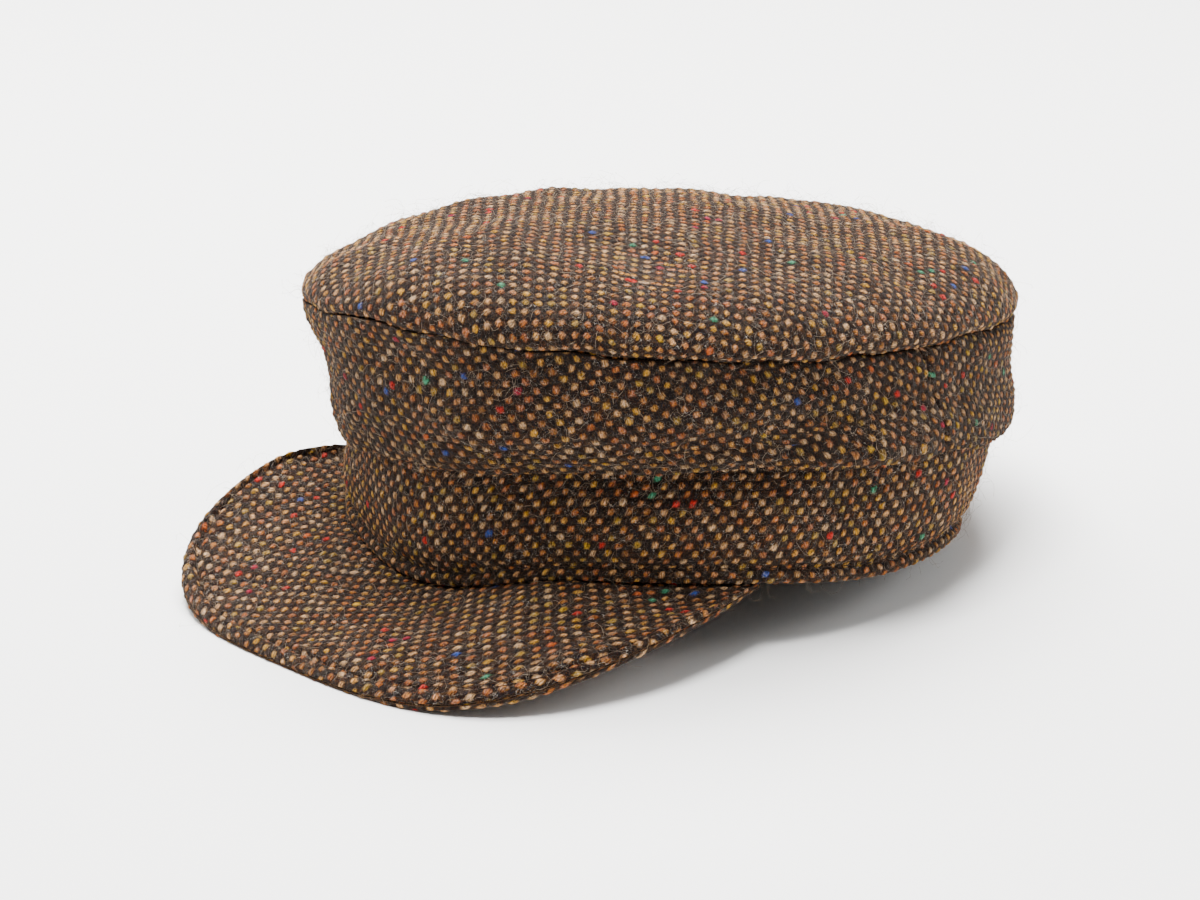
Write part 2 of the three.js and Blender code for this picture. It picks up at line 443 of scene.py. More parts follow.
def grid_normals(points: Array, closed: bool) -> Array:
    """Outward normals of a grid whose columns go round the head and whose rows go up.

    Args:
        points: The grid.
        closed: Whether the last column is followed by the first.

    Returns:
        Unit normals.
    """
    if closed:
        across = np.roll(points, -1, 0) - np.roll(points, 1, 0)
    else:
        across = np.gradient(points, axis=0)
    return unit(np.cross(across, np.gradient(points, axis=1)))


def dented(points: Array, sizes: tuple[tuple[float, float], ...], seed: int) -> Array:
    """Soft dents in the cloth.

    Args:
        points: Points of the cloth in mm.
        sizes: Height and usual length in mm of each kind of dent.
        seed: Seed of the first kind, the next kind has the next seed.

    Returns:
        How far each point is moved, in mm.
    """
    return sum(height * waves(points, length, seed + k) for k, (height, length) in enumerate(sizes))


@dataclass(frozen=True)
class Weave:
    """Plain weave of thick slubby weft over thinner dark warp, as relief on a surface."""

    pitch: float = 2.5
    weft_height: float = 0.52
    warp_height: float = 0.24
    wander: float = 0.09
    sink: float = 0.25

    def threads(self, flat: Array, seed: int) -> Array:
        """Flat cloth in mm turned into threads, which wander a little as hand-spun yarn does.

        Args:
            flat: Places on the flat cloth in mm.
            seed: Seed of the wander.

        Returns:
            Places counted in threads.
        """
        drift = [
            self.wander * waves(flat, 19.0, seed + k) + 0.4 * self.wander * waves(flat, 7.0, seed + 10 + k)
            for k in (0, 1)
        ]
        return flat / self.pitch + np.stack(drift, -1)

    def relief(self, threads: Array) -> Array:
        """How far the yarn stands above the ground of the cloth.

        Args:
            threads: Places counted in threads.

        Returns:
            Heights in mm.
        """
        hill = np.sin(np.pi * threads[..., 0]) * np.sin(np.pi * threads[..., 1])
        slub = 0.7 + 0.6 * cell_noise(np.floor(threads), 3)
        return np.where(hill > 0, self.weft_height * slub, self.warp_height) * np.abs(hill) ** 0.8

    def inner(self, along: Array, rows: int) -> Array:
        """Places in the weave for the hidden inner side of a wall.

        Args:
            along: How far round the head each column lies, in mm.
            rows: How many rows there are.

        Returns:
            Places counted in threads, columns by rows.
        """
        return np.stack(np.broadcast_arrays(along[:, None] / self.pitch, np.linspace(18, 0, rows)), -1)


WEAVE = Weave()


class Shell:
    """Points and faces of one closed wall of cloth, with its threads as a UV map."""

    def __init__(self) -> None:
        """Starts an empty wall."""
        self.points: list[Array] = []
        self.threads: list[Array] = []
        self.same_as: list[Array] = []
        self.faces: list[Array] = []
        self.count = 0

    def add(self, points: Array, threads: Array) -> Array:
        """Adds points.

        Args:
            points: Points in mm.
            threads: Their places in the weave.

        Returns:
            Their numbers, in the shape of the points.
        """
        numbers = self.count + np.arange(points[..., 0].size).reshape(points.shape[:-1])
        self.points.append(points.reshape(-1, 3))
        self.threads.append(threads.reshape(-1, 2))
        self.same_as.append(numbers.ravel())
        self.count += numbers.size
        return numbers

    def repeat(self, numbers: Array, threads: Array) -> Array:
        """Gives points a second place in the weave, across a seam.

        Args:
            numbers: The points.
            threads: Their other places in the weave.

        Returns:
            Numbers for use in faces.
        """
        again = self.count + np.arange(numbers.size).reshape(numbers.shape)
        flat = np.concatenate(self.points)
        self.points.append(flat[numbers.ravel()])
        self.threads.append(threads.reshape(-1, 2))
        self.same_as.append(numbers.ravel())
        self.count += numbers.size
        return again

    def sheet(self, numbers: Array) -> None:
        """Covers a grid with faces. Columns go round the head and rows go up.

        Args:
            numbers: The grid's points.
        """
        a, b, c, d = numbers[:-1, :-1], numbers[1:, :-1], numbers[1:, 1:], numbers[:-1, 1:]
        self.faces.append(np.stack([a, b, c, d], -1).reshape(-1, 4))

    def lace(self, fine: Array, coarse: Array) -> None:
        """Joins a row to one above it that has fewer points.

        Args:
            fine: Points of the lower row, with its end point.
            coarse: Points of the upper row, with its end point.
        """
        ratio = (len(fine) - 1) // (len(coarse) - 1)
        half = (ratio + 1) // 2
        for k in range(len(coarse) - 1):
            base = fine[k * ratio:(k + 1) * ratio + 1]
            corners = [(base[i], base[i + 1], coarse[k] if i < half else coarse[k + 1]) for i in range(ratio)]
            corners.append((coarse[k], base[half], coarse[k + 1]))
            self.faces.append(np.array([(a, b, c, -1) for a, b, c in corners]))

    def end(self, outer: Array, inner: Array, turned: bool) -> None:
        """Closes the end of a wall between its outer and its inner side.

        Args:
            outer: The outer side's points.
            inner: The inner side's points.
            turned: Whether the end looks back along the columns.
        """
        last = len(inner) - 1
        places = np.round(np.linspace(0, last, len(outer))).astype(int)
        for k in range(len(outer) - 1):
            i0, i1 = inner[places[k]], inner[places[k + 1]]
            trio = [(outer[k], outer[k + 1], i1)] + ([(outer[k], i1, i0)] if i0 != i1 else [])
            for a, b, c in trio:
                self.faces.append(np.array([(a, b, c, -1) if turned else (a, c, b, -1)]))

    def mesh(self, name: str, form: CapForm) -> bpy.types.Object:
        """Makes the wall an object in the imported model's frame.

        Args:
            name: Name of the object.
            form: The cap's form, which stands the points on the floor.

        Returns:
            The object.
        """
        points, threads = np.concatenate(self.points), np.concatenate(self.threads)
        same = np.concatenate(self.same_as)
        used, place = np.unique(same, return_inverse=True)
        faces = np.concatenate(self.faces)
        corners = faces[faces >= 0]
        sizes = (faces >= 0).sum(1)
        mesh = bpy.data.meshes.new(name)
        mesh.vertices.add(len(used))
        mesh.vertices.foreach_set("co", form.stand(points[used]).astype(np.float32).ravel())
        mesh.loops.add(len(corners))
        mesh.loops.foreach_set("vertex_index", place[corners].astype(np.int32))
        mesh.polygons.add(len(faces))
        mesh.polygons.foreach_set("loop_start", np.concatenate([[0], np.cumsum(sizes)[:-1]]).astype(np.int32))
        mesh.polygons.foreach_set("use_smooth", np.ones(len(faces), bool))
        mesh.update(calc_edges=True)
        layer = mesh.uv_layers.new(name="Threads")
        layer.data.foreach_set("uv", threads[corners].astype(np.float32).ravel())
        mesh.validate()
        piece = bpy.data.objects.new(name, mesh)
        bpy.context.scene.collection.objects.link(piece)
        return piece


def add_node(
    tree: bpy.types.NodeTree, kind: str, inputs: dict | None = None, **settings: object
) -> bpy.types.Node:
    """Adds a node with its settings and its values or links.

    Args:
        tree: The tree that gets the node.
        kind: Blender's name for the kind of node.
        inputs: For each input's name or number, a value, or the socket or node that feeds it.
            A node feeds it by its first output.
        **settings: The node's own settings.

    Returns:
        The node.
    """
    node = tree.nodes.new(kind)
    for name, value in settings.items():
        setattr(node, name, value)
    for key, value in (inputs or {}).items():
        if isinstance(value, bpy.types.Node):
            value = value.outputs[0]
        if isinstance(value, bpy.types.NodeSocket):
            tree.links.new(value, node.inputs[key])
        else:
            node.inputs[key].default_value = value
    return node


def linear(colour: str) -> tuple[float, float, float, float]:
    """An sRGB hex colour as linear values.

    Args:
        colour: Such as "#a0b0c0".

    Returns:
        Red, green, blue and 1.
    """
    values = [int(colour[k:k + 2], 16) / 255 for k in (1, 3, 5)]
    r, g, b = (v / 12.92 if v <= 0.04045 else ((v + 0.055) / 1.055) ** 2.4 for v in values)
    return r, g, b, 1.0


def fill_ramp(ramp: bpy.types.ColorRamp, stops: Stops, stepped: bool = False) -> None:
    """Gives a colour ramp its stops.

    Args:
        ramp: The ramp.
        stops: Position and colour of each stop, in order.
        stepped: Whether a colour holds until the next stop.
    """
    ramp.interpolation = "CONSTANT" if stepped else "LINEAR"
    while len(ramp.elements) < len(stops):
        ramp.elements.new(1.0)
    for element, (position, colour) in zip(ramp.elements, stops):
        element.position = position
        element.color = linear(colour)


@dataclass(frozen=True)
class DonegalTweed:
    """Hand-woven woollen tweed: pale slubby nubs on a near-black brown ground, with bright neps.

    The nubs give the eye its checkered sparkle, the ground its depth, and the raised wool a soft
    bloom where the cloth turns away. The ground's near-black is partly the dark warp and partly
    painted shade between the nubs. Scales are counted in threads, 2.5 mm each. The dye is darker
    than it looks, because the studio's light is strong.
    """

    slot: Slot
    # Set for each piece; the differences between pieces are painted light and shade.
    lightness: float = 0.5
    nubs: Stops = (
        (0.00, "#9c541a"), (0.10, "#d0943e"), (0.21, "#bc784c"), (0.31, "#a84a1c"), (0.41, "#d8a672"),
        (0.51, "#cf9c14"), (0.60, "#94301a"), (0.68, "#928424"), (0.75, "#d9b88c"), (0.84, "#5e2a12"),
        (0.92, "#a0825c"),
    )
    strands: Stops = (
        (0.30, "#3c1c10"), (0.39, "#a85a28"), (0.46, "#cf9638"), (0.53, "#9c5a3c"), (0.60, "#d8b48c"),
        (0.69, "#7c3018"),
    )
    # The dark warp, painted near-black with the shade that lies between the nubs.
    ground: Stops = ((0.25, "#030202"), (0.45, "#080403"), (0.6, "#140b06"), (0.8, "#38200f"))
    carded: Stops = (
        (0.28, "#4a1a12"), (0.36, "#2e130e"), (0.44, "#0a0605"), (0.52, "#000000"), (0.58, "#0c1018"),
        (0.64, "#16243a"), (0.72, "#1c2c14"), (0.8, "#5c4416"),
    )
    neps: Stops = (
        (0.00, "#c2261f"), (0.28, "#c25a22"), (0.42, "#c99a1f"), (0.62, "#2f4f9a"), (0.76, "#3f8f6a"),
        (0.88, "#a8203c"),
    )
    # Loose hairs: scale of their curls, width, colour, strength.
    hairs: tuple[tuple[float, float, str, float], ...] = (
        (1.7, 0.007, "#cdb79a", 0.65), (2.3, 0.03, "#070403", 0.8), (2.9, 0.009, "#c8863c", 0.6),
        (1.3, 0.006, "#eee2d2", 0.7), (3.4, 0.008, "#a04a24", 0.6),
    )
    # A nub's own number from 0 to 1 above which it is a nep: about one in twenty-two.
    nep_from: float = 0.955
    sheen: str = "#e2cdb4"

    def material(self) -> bpy.types.Material:
        """Builds the cloth on the threads of the UV map.

        Returns:
            The material.
        """
        made = bpy.data.materials.new("donegal_" + self.slot.value)
        made.use_nodes = True
        tree = made.node_tree
        shader = tree.nodes["Principled BSDF"]
        add = partial(add_node, tree)
        threads = add("ShaderNodeUVMap", uv_map="Threads")
        place, hill = self.wander(add, threads)
        # Twisted fibres lie aslant on the yarn, a third of a millimetre apart.
        slant = add("ShaderNodeMapping", {"Vector": place, "Rotation": (0, 0, 0.5), "Scale": (7.5, 1.9, 1.0)})
        fibre = add("ShaderNodeTexNoise", {"Vector": slant, "Scale": 1.0, "Detail": 2.0, "Roughness": 0.6})
        frizz = add("ShaderNodeTexNoise", {"Vector": threads, "Scale": 5.0, "Detail": 4.0, "Roughness": 0.7})
        cloth = self.yarn(add, place, hill, fibre, frizz)
        cloth = self.felt(add, threads, cloth)
        # Broad patches where the yarn was spun lighter or darker, on the piece's lightness, whose differences
        # between pieces are painted light and shade.
        patch = add("ShaderNodeTexNoise", {"Vector": threads, "Scale": 0.09, "Detail": 3.0, "Roughness": 0.5})
        tone = add("ShaderNodeMapRange", {
            0: patch, 1: 0.3, 2: 0.7, 3: 0.88 * self.lightness, 4: 1.12 * self.lightness,
        }, interpolation_type="SMOOTHSTEP")
        cloth = add("ShaderNodeMix", {0: 1.0, 6: cloth, 7: tone}, data_type="RGBA", blend_type="MULTIPLY")
        height = add("ShaderNodeMath", {0: hill}, operation="ABSOLUTE")
        for grain in (fibre, frizz):
            height = add("ShaderNodeMath", {0: grain, 1: 1.1, 2: height}, operation="MULTIPLY_ADD")
        bump = add("ShaderNodeBump", {"Strength": 0.8, "Distance": 0.0006, "Height": height})
        tree.links.new(cloth.outputs[2], shader.inputs["Base Color"])
        tree.links.new(bump.outputs[0], shader.inputs["Normal"])
        shader.inputs["Roughness"].default_value = 0.95
        shader.inputs["Specular IOR Level"].default_value = 0.12
        shader.inputs["Sheen Weight"].default_value = 0.03
        shader.inputs["Sheen Roughness"].default_value = 0.5
        shader.inputs["Sheen Tint"].default_value = linear(self.sheen)
        return made

    @staticmethod
    def wander(add: AddNode, threads: bpy.types.Node) -> tuple[bpy.types.Node, bpy.types.Node]:
        """Lets the threads wander, and raises the crossings where the pale weft lies on top.

        Args:
            add: Adds a node to the material.
            threads: Places counted in threads.

        Returns:
            The wandering places, and the height of the weave: 1 on a nub, -1 between two.
        """
        drift = add("ShaderNodeTexNoise", {"Vector": threads, "Scale": 1.5, "Detail": 3.0, "Roughness": 0.6})
        shift = add("ShaderNodeVectorMath", {
            0: drift.outputs["Color"], 1: (0.5, 0.5, 0.5)}, operation="SUBTRACT")
        shift = add("ShaderNodeVectorMath", {0: shift, 1: (0.42, 0.42, 0.0)}, operation="MULTIPLY")
        place = add("ShaderNodeVectorMath", {0: threads, 1: shift}, operation="ADD")
        split = add("ShaderNodeSeparateXYZ", {0: place})
        sines = []
        for axis in (0, 1):
            angle = add("ShaderNodeMath", {0: split.outputs[axis], 1: float(np.pi)}, operation="MULTIPLY")
            sines.append(add("ShaderNodeMath", {0: angle}, operation="SINE"))
        return place, add("ShaderNodeMath", {0: sines[0], 1: sines[1]}, operation="MULTIPLY")

    def yarn(
        self, add: AddNode, place: bpy.types.Node, hill: bpy.types.Node, fibre: bpy.types.Node,
        frizz: bpy.types.Node
    ) -> bpy.types.NodeSocket:
        """Colours the nubs, the dark ground between them and the bright neps.

        Args:
            add: Adds a node to the material.
            place: Wandering places counted in threads.
            hill: Height of the weave.
            fibre: Noise along the twisted fibres.
            frizz: Fine noise that frays the nubs.

        Returns:
            The colour.
        """
        cell = add("ShaderNodeVectorMath", {0: place}, operation="FLOOR")
        yarn = add("ShaderNodeTexWhiteNoise", {"Vector": cell}, noise_dimensions="3D")
        chance = add("ShaderNodeSeparateColor", {0: yarn.outputs["Color"]})
        # The yarn is blended from strands of several dyes, half a millimetre apart.
        mixed = add("ShaderNodeMapping", {
            "Vector": place, "Location": (5, 9, 0), "Rotation": (0, 0, 0.4), "Scale": (4.2, 1.3, 1.0)})
        dyed = add("ShaderNodeTexNoise", {"Vector": mixed, "Scale": 1.0, "Detail": 2.0, "Roughness": 0.6})
        flecked = add("ShaderNodeTexNoise", {"Vector": mixed, "Scale": 0.6, "Detail": 3.0, "Roughness": 0.7})
        nub, strand, ground, carded, nep = (add("ShaderNodeValToRGB", {0: number}) for number in (
            yarn.outputs["Value"], dyed, fibre, flecked, chance.outputs[2]))
        fill_ramp(nub.color_ramp, self.nubs, stepped=True)
        fill_ramp(strand.color_ramp, self.strands)
        fill_ramp(ground.color_ramp, self.ground)
        # Dyed fibres of the neps are carded into the dark yarn too.
        fill_ramp(carded.color_ramp, self.carded)
        fill_ramp(nep.color_ramp, self.neps, stepped=True)
        # The ground between the nubs is the dark warp with painted shade of the gaps.
        dark = add("ShaderNodeMix", {0: 0.55, 6: ground, 7: carded}, data_type="RGBA", blend_type="ADD")
        tuft = add("ShaderNodeMix", {0: 0.5, 6: nub, 7: strand}, data_type="RGBA")
        chosen = add("ShaderNodeMath", {0: chance, 1: self.nep_from}, operation="GREATER_THAN")
        tuft = add("ShaderNodeMix", {0: chosen, 6: tuft.outputs[2], 7: nep}, data_type="RGBA")
        # The fibres streak each nub. Painted shade darkens each nub towards its edge, where it dips between
        # the threads, and a painted highlight lifts its top.
        for number, low, high, start, end in ((fibre, 0.36, 0.64, 0.25, 1.7), (hill, 0.0, 0.95, 0.35, 1.3)):
            shade = add("ShaderNodeMapRange", {0: number, 1: low, 2: high, 3: start, 4: end},
                        interpolation_type="SMOOTHSTEP")
            tuft = add("ShaderNodeMix", {0: 1.0, 6: tuft.outputs[2], 7: shade},
                       data_type="RGBA", blend_type="MULTIPLY")
        # Where the pale yarn lies on top, it is round and frayed at its edge.
        fray = add("ShaderNodeMath", {0: frizz, 1: 1.8, 2: -0.9}, operation="MULTIPLY_ADD")
        top = add("ShaderNodeMath", {0: hill, 1: fray}, operation="ADD")
        top = add("ShaderNodeMath", {0: yarn, 1: 0.24, 2: top}, operation="MULTIPLY_ADD")
        pale = add("ShaderNodeMapRange", {0: top, 1: 0.12, 2: 0.8, 3: 0.0, 4: 1.0},
                   interpolation_type="SMOOTHSTEP")
        cloth = add("ShaderNodeMix", {0: pale, 6: dark.outputs[2], 7: tuft.outputs[2]}, data_type="RGBA")
        return cloth.outputs[2]

    def felt(
        self, add: AddNode, threads: bpy.types.Node, cloth: bpy.types.NodeSocket
    ) -> bpy.types.NodeSocket:
        """Lays fine loose hairs, pale and dark, over the weave: the lines where a noise is halfway.

        Args:
            add: Adds a node to the material.
            threads: Places counted in threads.
            cloth: Colour of the cloth.

        Returns:
            The colour with its hairs.
        """
        for number, (scale, width, colour, share) in enumerate(self.hairs):
            moved = add("ShaderNodeMapping", {
                "Vector": threads, "Location": (7.3 * number, 3.1 * number, 0.0)})
            curl = add("ShaderNodeTexNoise", {
                "Vector": moved, "Scale": scale, "Detail": 1.5, "Roughness": 0.6})
            line = add("ShaderNodeMath", {0: curl, 1: 0.5}, operation="SUBTRACT")
            line = add("ShaderNodeMath", {0: line}, operation="ABSOLUTE")
            hair = add("ShaderNodeMapRange", {0: line, 1: 0.0, 2: width, 3: share, 4: 0.0},
                       interpolation_type="SMOOTHSTEP")
            field = add("ShaderNodeTexNoise", {
                "Vector": moved, "Scale": 0.45, "Detail": 2.0, "Roughness": 0.5})
            some = add("ShaderNodeMapRange", {0: field, 1: 0.38, 2: 0.6, 3: 0.25, 4: 1.0},
                       interpolation_type="SMOOTHSTEP")
            laid = add("ShaderNodeMath", {0: hair, 1: some}, operation="MULTIPLY")
            cloth = add("ShaderNodeMix", {0: laid, 6: cloth, 7: linear(colour)}, data_type="RGBA").outputs[2]
        return cloth


@dataclass(frozen=True)
class PlainWool:
    """Spun wool without a weave, for thread and loose fibre: dull, slightly uneven in colour."""

    name: str
    dark: str
    pale: str
    grain: float

    def material(self) -> bpy.types.Material:
        """Builds the wool on the object's own coordinates.

        Returns:
            The material.
        """
        made = bpy.data.materials.new(self.name)
        made.use_nodes = True
        tree = made.node_tree
        shader = tree.nodes["Principled BSDF"]
        place = add_node(tree, "ShaderNodeTexCoord").outputs["Object"]
        noise = add_node(tree, "ShaderNodeTexNoise", {
            "Vector": place, "Scale": 1000 / self.grain, "Detail": 1.0})
        ramp = add_node(tree, "ShaderNodeValToRGB", {0: noise})
        fill_ramp(ramp.color_ramp, ((0.35, self.dark), (0.62, self.pale)))
        tree.links.new(ramp.outputs[0], shader.inputs["Base Color"])
        shader.inputs["Roughness"].default_value = 0.85
        shader.inputs["Specular IOR Level"].default_value = 0.3
        return made


@dataclass
class ClothPiece:
    """What every piece of the cap's cloth shares."""

    form: CapForm
    cloth: bpy.types.Material

    def settle(self, shell: Shell, name: str, nodes: tuple[str, ...], slot: Slot) -> bpy.types.Object:
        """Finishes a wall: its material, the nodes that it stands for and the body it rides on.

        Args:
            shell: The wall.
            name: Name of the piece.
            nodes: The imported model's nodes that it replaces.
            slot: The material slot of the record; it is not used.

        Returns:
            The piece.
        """
        piece = shell.mesh(name, self.form)
        piece.data.materials.append(self.cloth)
        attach(piece, "root")
        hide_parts(*nodes)
        LOG.info("%s: %d faces", name, len(piece.data.polygons))
        return piece


@dataclass
class Headband(ClothPiece):
    """The upright band, with its rolled and stitched hem."""

    columns: int = 860
    rows: int = 82
    inner_rows: int = 7
    lean: float = 0.05
    groove_height: float = 4.4
    draw_in: float = 3.3
    draw_height: float = 8.0
    roll_top: float = 6.6
    # The hem's roll and the groove above it: how far up and how far out.
    roll: tuple[tuple[float, float], ...] = (
        (0.9, -3.0), (0.3, -2.6), (0.0, -1.9), (0.05, -1.1), (0.45, -0.3), (1.2, 0.25), (2.1, 0.45),
        (3.0, 0.2), (3.7, -0.45), (4.1, -1.2), (4.4, -1.75), (4.8, -1.55), (5.5, -0.95), (6.6, -0.6),
    )
    dents: tuple[tuple[float, float], ...] = ((0.45, 48.0), (0.2, 20.0))

    def surface(self, heading: Array) -> tuple[Array, Array]:
        """The band's outer and inner side.

        Args:
            heading: Headings of the columns.

        Returns:
            Fine rows of the outer side and of the inner side, from the hem up.
        """
        form = self.form
        hem, crease = form.hem(heading), form.crease(heading)
        height = crease[:, 2] - hem[:, 2]
        proud = form.hem_thickness - form.cloth_wall
        drawn = self.draw_in * form.gather(heading)
        outer = []
        for up, out in self.roll:
            outer.append(form.outwards(hem + (crease - hem) * (up / height)[:, None], heading, out))
        for share in np.linspace(0, 1, 40)[1:]:
            up = self.roll_top + (height - self.roll_top) * share
            level = up / height
            belly = form.band_belly * np.sin(np.pi * level)
            under = drawn * np.exp(-(((height - up) / self.draw_height) ** 2))
            outer.append(form.outwards(hem + (crease - hem) * level[:, None], heading, belly - proud - under))
        top = crease.copy()
        top[:, 2] += form.band_tuck
        outer.append(form.outwards(top, heading, -proud - drawn))
        inner = []
        for level in np.linspace(0.03, 1.0, self.inner_rows):
            belly = form.band_belly * np.sin(np.pi * level)
            under = drawn * np.exp(-((height * (1 - level) / self.draw_height) ** 2)) + form.cloth_wall
            inner.append(form.outwards(hem + (crease - hem) * level, heading, belly - proud - under))
        inner.append(form.outwards(top, heading, -proud - drawn - form.cloth_wall))
        return np.stack(outer, 1), np.stack(inner, 1)

    def build(self) -> tuple[bpy.types.Object, Array]:
        """Builds the band.

        Returns:
            The piece, and the grid of its outer side.
        """
        heading = even_headings(180.0, 540.0, self.columns)[:-1]
        fine, inner = self.surface(heading)
        outer, run = even_rows(fine, self.rows)
        turn = np.linalg.norm(np.diff(self.form.crease(np.append(heading, 540.0))[:, :2], axis=0), axis=1)
        along = np.concatenate([[0], np.cumsum(turn)])
        middle = np.interp(360.0, np.append(heading, 540.0), along)
        flat = np.stack([along[:-1, None] - middle - self.lean * run, run], -1)
        threads = WEAVE.threads(flat, 11)
        last = WEAVE.threads(np.stack([along[-1] - middle - self.lean * run[0], run[0]], -1), 11)
        normals = grid_normals(outer, True)
        # The stitched hem stays straight, so the dents fade towards it.
        dents = dented(outer, self.dents, 21) * np.clip((run - 7) / 10, 0, 1)
        outer = outer + normals * (WEAVE.relief(threads) - WEAVE.sink + dents)[..., None]
        shell = Shell()
        skin = shell.add(outer, threads)
        skin = np.concatenate([skin, shell.repeat(skin[0], last)[None]])
        back = shell.add(inner[:, ::-1], WEAVE.inner(along[:-1], inner.shape[1]))
        back = np.concatenate([back, back[:1]])
        shell.sheet(np.concatenate([skin, back, skin[:, :1]], axis=1))
        return self.settle(shell, "band_cloth", ("headband",), Slot.BAND), outer

    def groove(self, count: int = 360) -> Array:
        """The line of stitches in the groove above the hem's roll.

        Args:
            count: How many steps the line has.

        Returns:
            The points of the line.
        """
        heading = np.linspace(0, 360, count + 1)
        hem, crease = self.form.hem(heading), self.form.crease(heading)
        level = self.groove_height / (crease[:, 2] - hem[:, 2])
        return self.form.outwards(hem + (crease - hem) * level[:, None], heading, -1.45)


@dataclass
class SidePanel(ClothPiece):
    """A length of the side panel between two upright seams, sagging over the band."""

    name: str = "side_cloth_front"
    node: str = "side_panel_front"
    start: float = -98.0
    end: float = 98.0
    columns: int = 620
    rows: int = 84
    cut_radius: float = 520.0
    seed: int = 31
    # The lower roll: level, share of the overhang and distance that it stands out, and its drop.
    lower_roll: tuple[tuple[float, float, float, float], ...] = (
        (0.03, 0.0, -1.9, 0.0), (0.0, 0.0, -1.3, 0.2), (0.0, 0.25, -0.6, 0.6), (0.0, 0.6, 0.0, 0.7),
        (0.0, 0.85, 0.4, 0.25), (0.025, 0.66, 0.6, 0.0),
    )
    # The turn into the crown seam: level and depth.
    turn_in: tuple[tuple[float, float], ...] = (
        (0.935, 0.1), (0.955, 0.35), (0.972, 0.7), (0.986, 1.2), (0.997, 1.8),
    )
    # The folds at the wearer's left: heading, level of the hollow, how far the cloth stands out above
    # it, how far it falls in there, and how far it stands out below.
    slack: tuple[tuple[float, float, float, float, float], ...] = (
        (0, 0.2, 0, 0, 0), (15, 0.2, 0.8, 0.4, 0), (30, 0.24, 1.8, 1.5, 0), (48, 0.32, 2.3, 2.6, 0),
        (61, 0.36, 2.3, 3.0, 0.3), (71, 0.45, 1.7, 2.5, 1.0), (81, 0.5, 1.2, 2.2, 1.4),
        (90, 0.55, 1.2, 2.0, 1.4), (98, 0.6, 0.3, 0.4, 0.4),
    )
    dents: tuple[tuple[float, float], ...] = ((0.5, 42.0), (0.25, 17.0))
    # Drag lines: heading, lean and depth.
    drags: tuple[tuple[float, float, float], ...] = (
        (-36, 10, 0.7), (-20, 16, 0.5), (14, -18, 0.35), (44, 26, 0.45), (57, -20, 0.4), (150, 22, 0.5),
        (214, -24, 0.5), (255, 20, 0.5),
    )

    def surface(self, heading: Array) -> tuple[Array, Array]:
        """The panel's outer and inner side.

        Args:
            heading: Headings of the columns.

        Returns:
            Fine rows of the outer side and of the inner side, from the lower roll up.
        """
        form = self.form
        crease, seam = form.crease(heading), form.seam(heading)
        overhang = form.panel_overhang * form.share("overhang", heading)
        waist = form.panel_waist * form.share("waist", heading)
        clear = form.seam_gap + form.cloth_wall
        side = np.minimum(np.abs(heading - self.start), np.abs(heading - self.end)) * np.radians(96.0)
        tuck_in = -1.3 * np.exp(-((side / 1.5) ** 2))

        def at(level: float, extra: Array | float, drop: float = 0.0) -> Array:
            """One row of the panel.

            Args:
                level: Share of the way up from the crease.
                extra: How far the row is pushed outwards.
                drop: How far it is lowered.

            Returns:
                The points.
            """
            point = crease + (seam - crease) * level
            point[:, 2] -= drop
            out = clear * (1 - level) + overhang * smooth_table(np.array(level), PANEL_SECTION, 1)
            out = out - waist * smooth_table(np.array(level), PANEL_SECTION, 2)
            return form.outwards(point, heading, out + extra + tuck_in)

        # The lower edge is a full roll that hangs over the band and turns in again underneath it.
        full = np.clip(overhang, 0, 5) * (1 - 0.65 * form.gather(heading))
        outer = [at(level, part * full + out, drop) for level, part, out, drop in self.lower_roll]
        for level in np.linspace(0.06, 0.91, 44):
            swell = 0.38 * full * np.exp(-(((level - 0.06) / 0.045) ** 2))
            outer.append(at(level, 0.9 * (1 - level) ** 6 + swell))
        deep = seam_depth(heading)
        outer += [at(level, -part * deep) for level, part in self.turn_in]
        inner = [at(level, -form.cloth_wall) for level in np.linspace(0.05, 1.0, 7)]
        return np.stack(outer, 1), np.stack(inner, 1)

    def folds(self, heading: Array, level: Array) -> Array:
        """The slack of the cloth: a soft lower roll, a hollow above it and a few drag lines.

        Args:
            heading: Heading of each point.
            level: Share of the way up from the crease.

        Returns:
            How far the cloth stands out, in mm.
        """
        def ridge(middle: Array | float, tall: Array | float) -> Array:
            """A soft ridge along the panel."""
            return np.exp(-(((level - middle) / tall) ** 2))

        rows = np.array(self.slack)
        hollow, above, within, below = (np.interp(heading, rows[:, 0], rows[:, k]) for k in range(1, 5))
        slack = above * ridge(hollow + 0.32, 0.17)
        slack -= within * ridge(hollow + 0.02, 0.22)
        slack += below * ridge(hollow - 0.32, 0.12)
        for middle, lean, depth in self.drags:
            line = np.exp(-(((heading - middle - lean * (level - 0.4)) / 3.2) ** 2))
            slack += depth * line * ridge(0.45, 0.3)
        return slack

    def build(self) -> tuple[bpy.types.Object, Array]:
        """Builds the panel.

        Returns:
            The piece, and the grid of its outer side.
        """
        half_gap = np.degrees(self.form.seam_gap / 2 / self.form.seam_half_width)
        heading = even_headings(self.start + half_gap, self.end - half_gap, self.columns)
        fine, inner = self.surface(heading)
        outer, run = even_rows(fine, self.rows)
        steps = np.linalg.norm(np.diff(self.form.crease(heading)[:, :2], axis=0), axis=1)
        along = np.concatenate([[0], np.cumsum(steps)])
        along -= np.interp((self.start + self.end) / 2, heading, along)
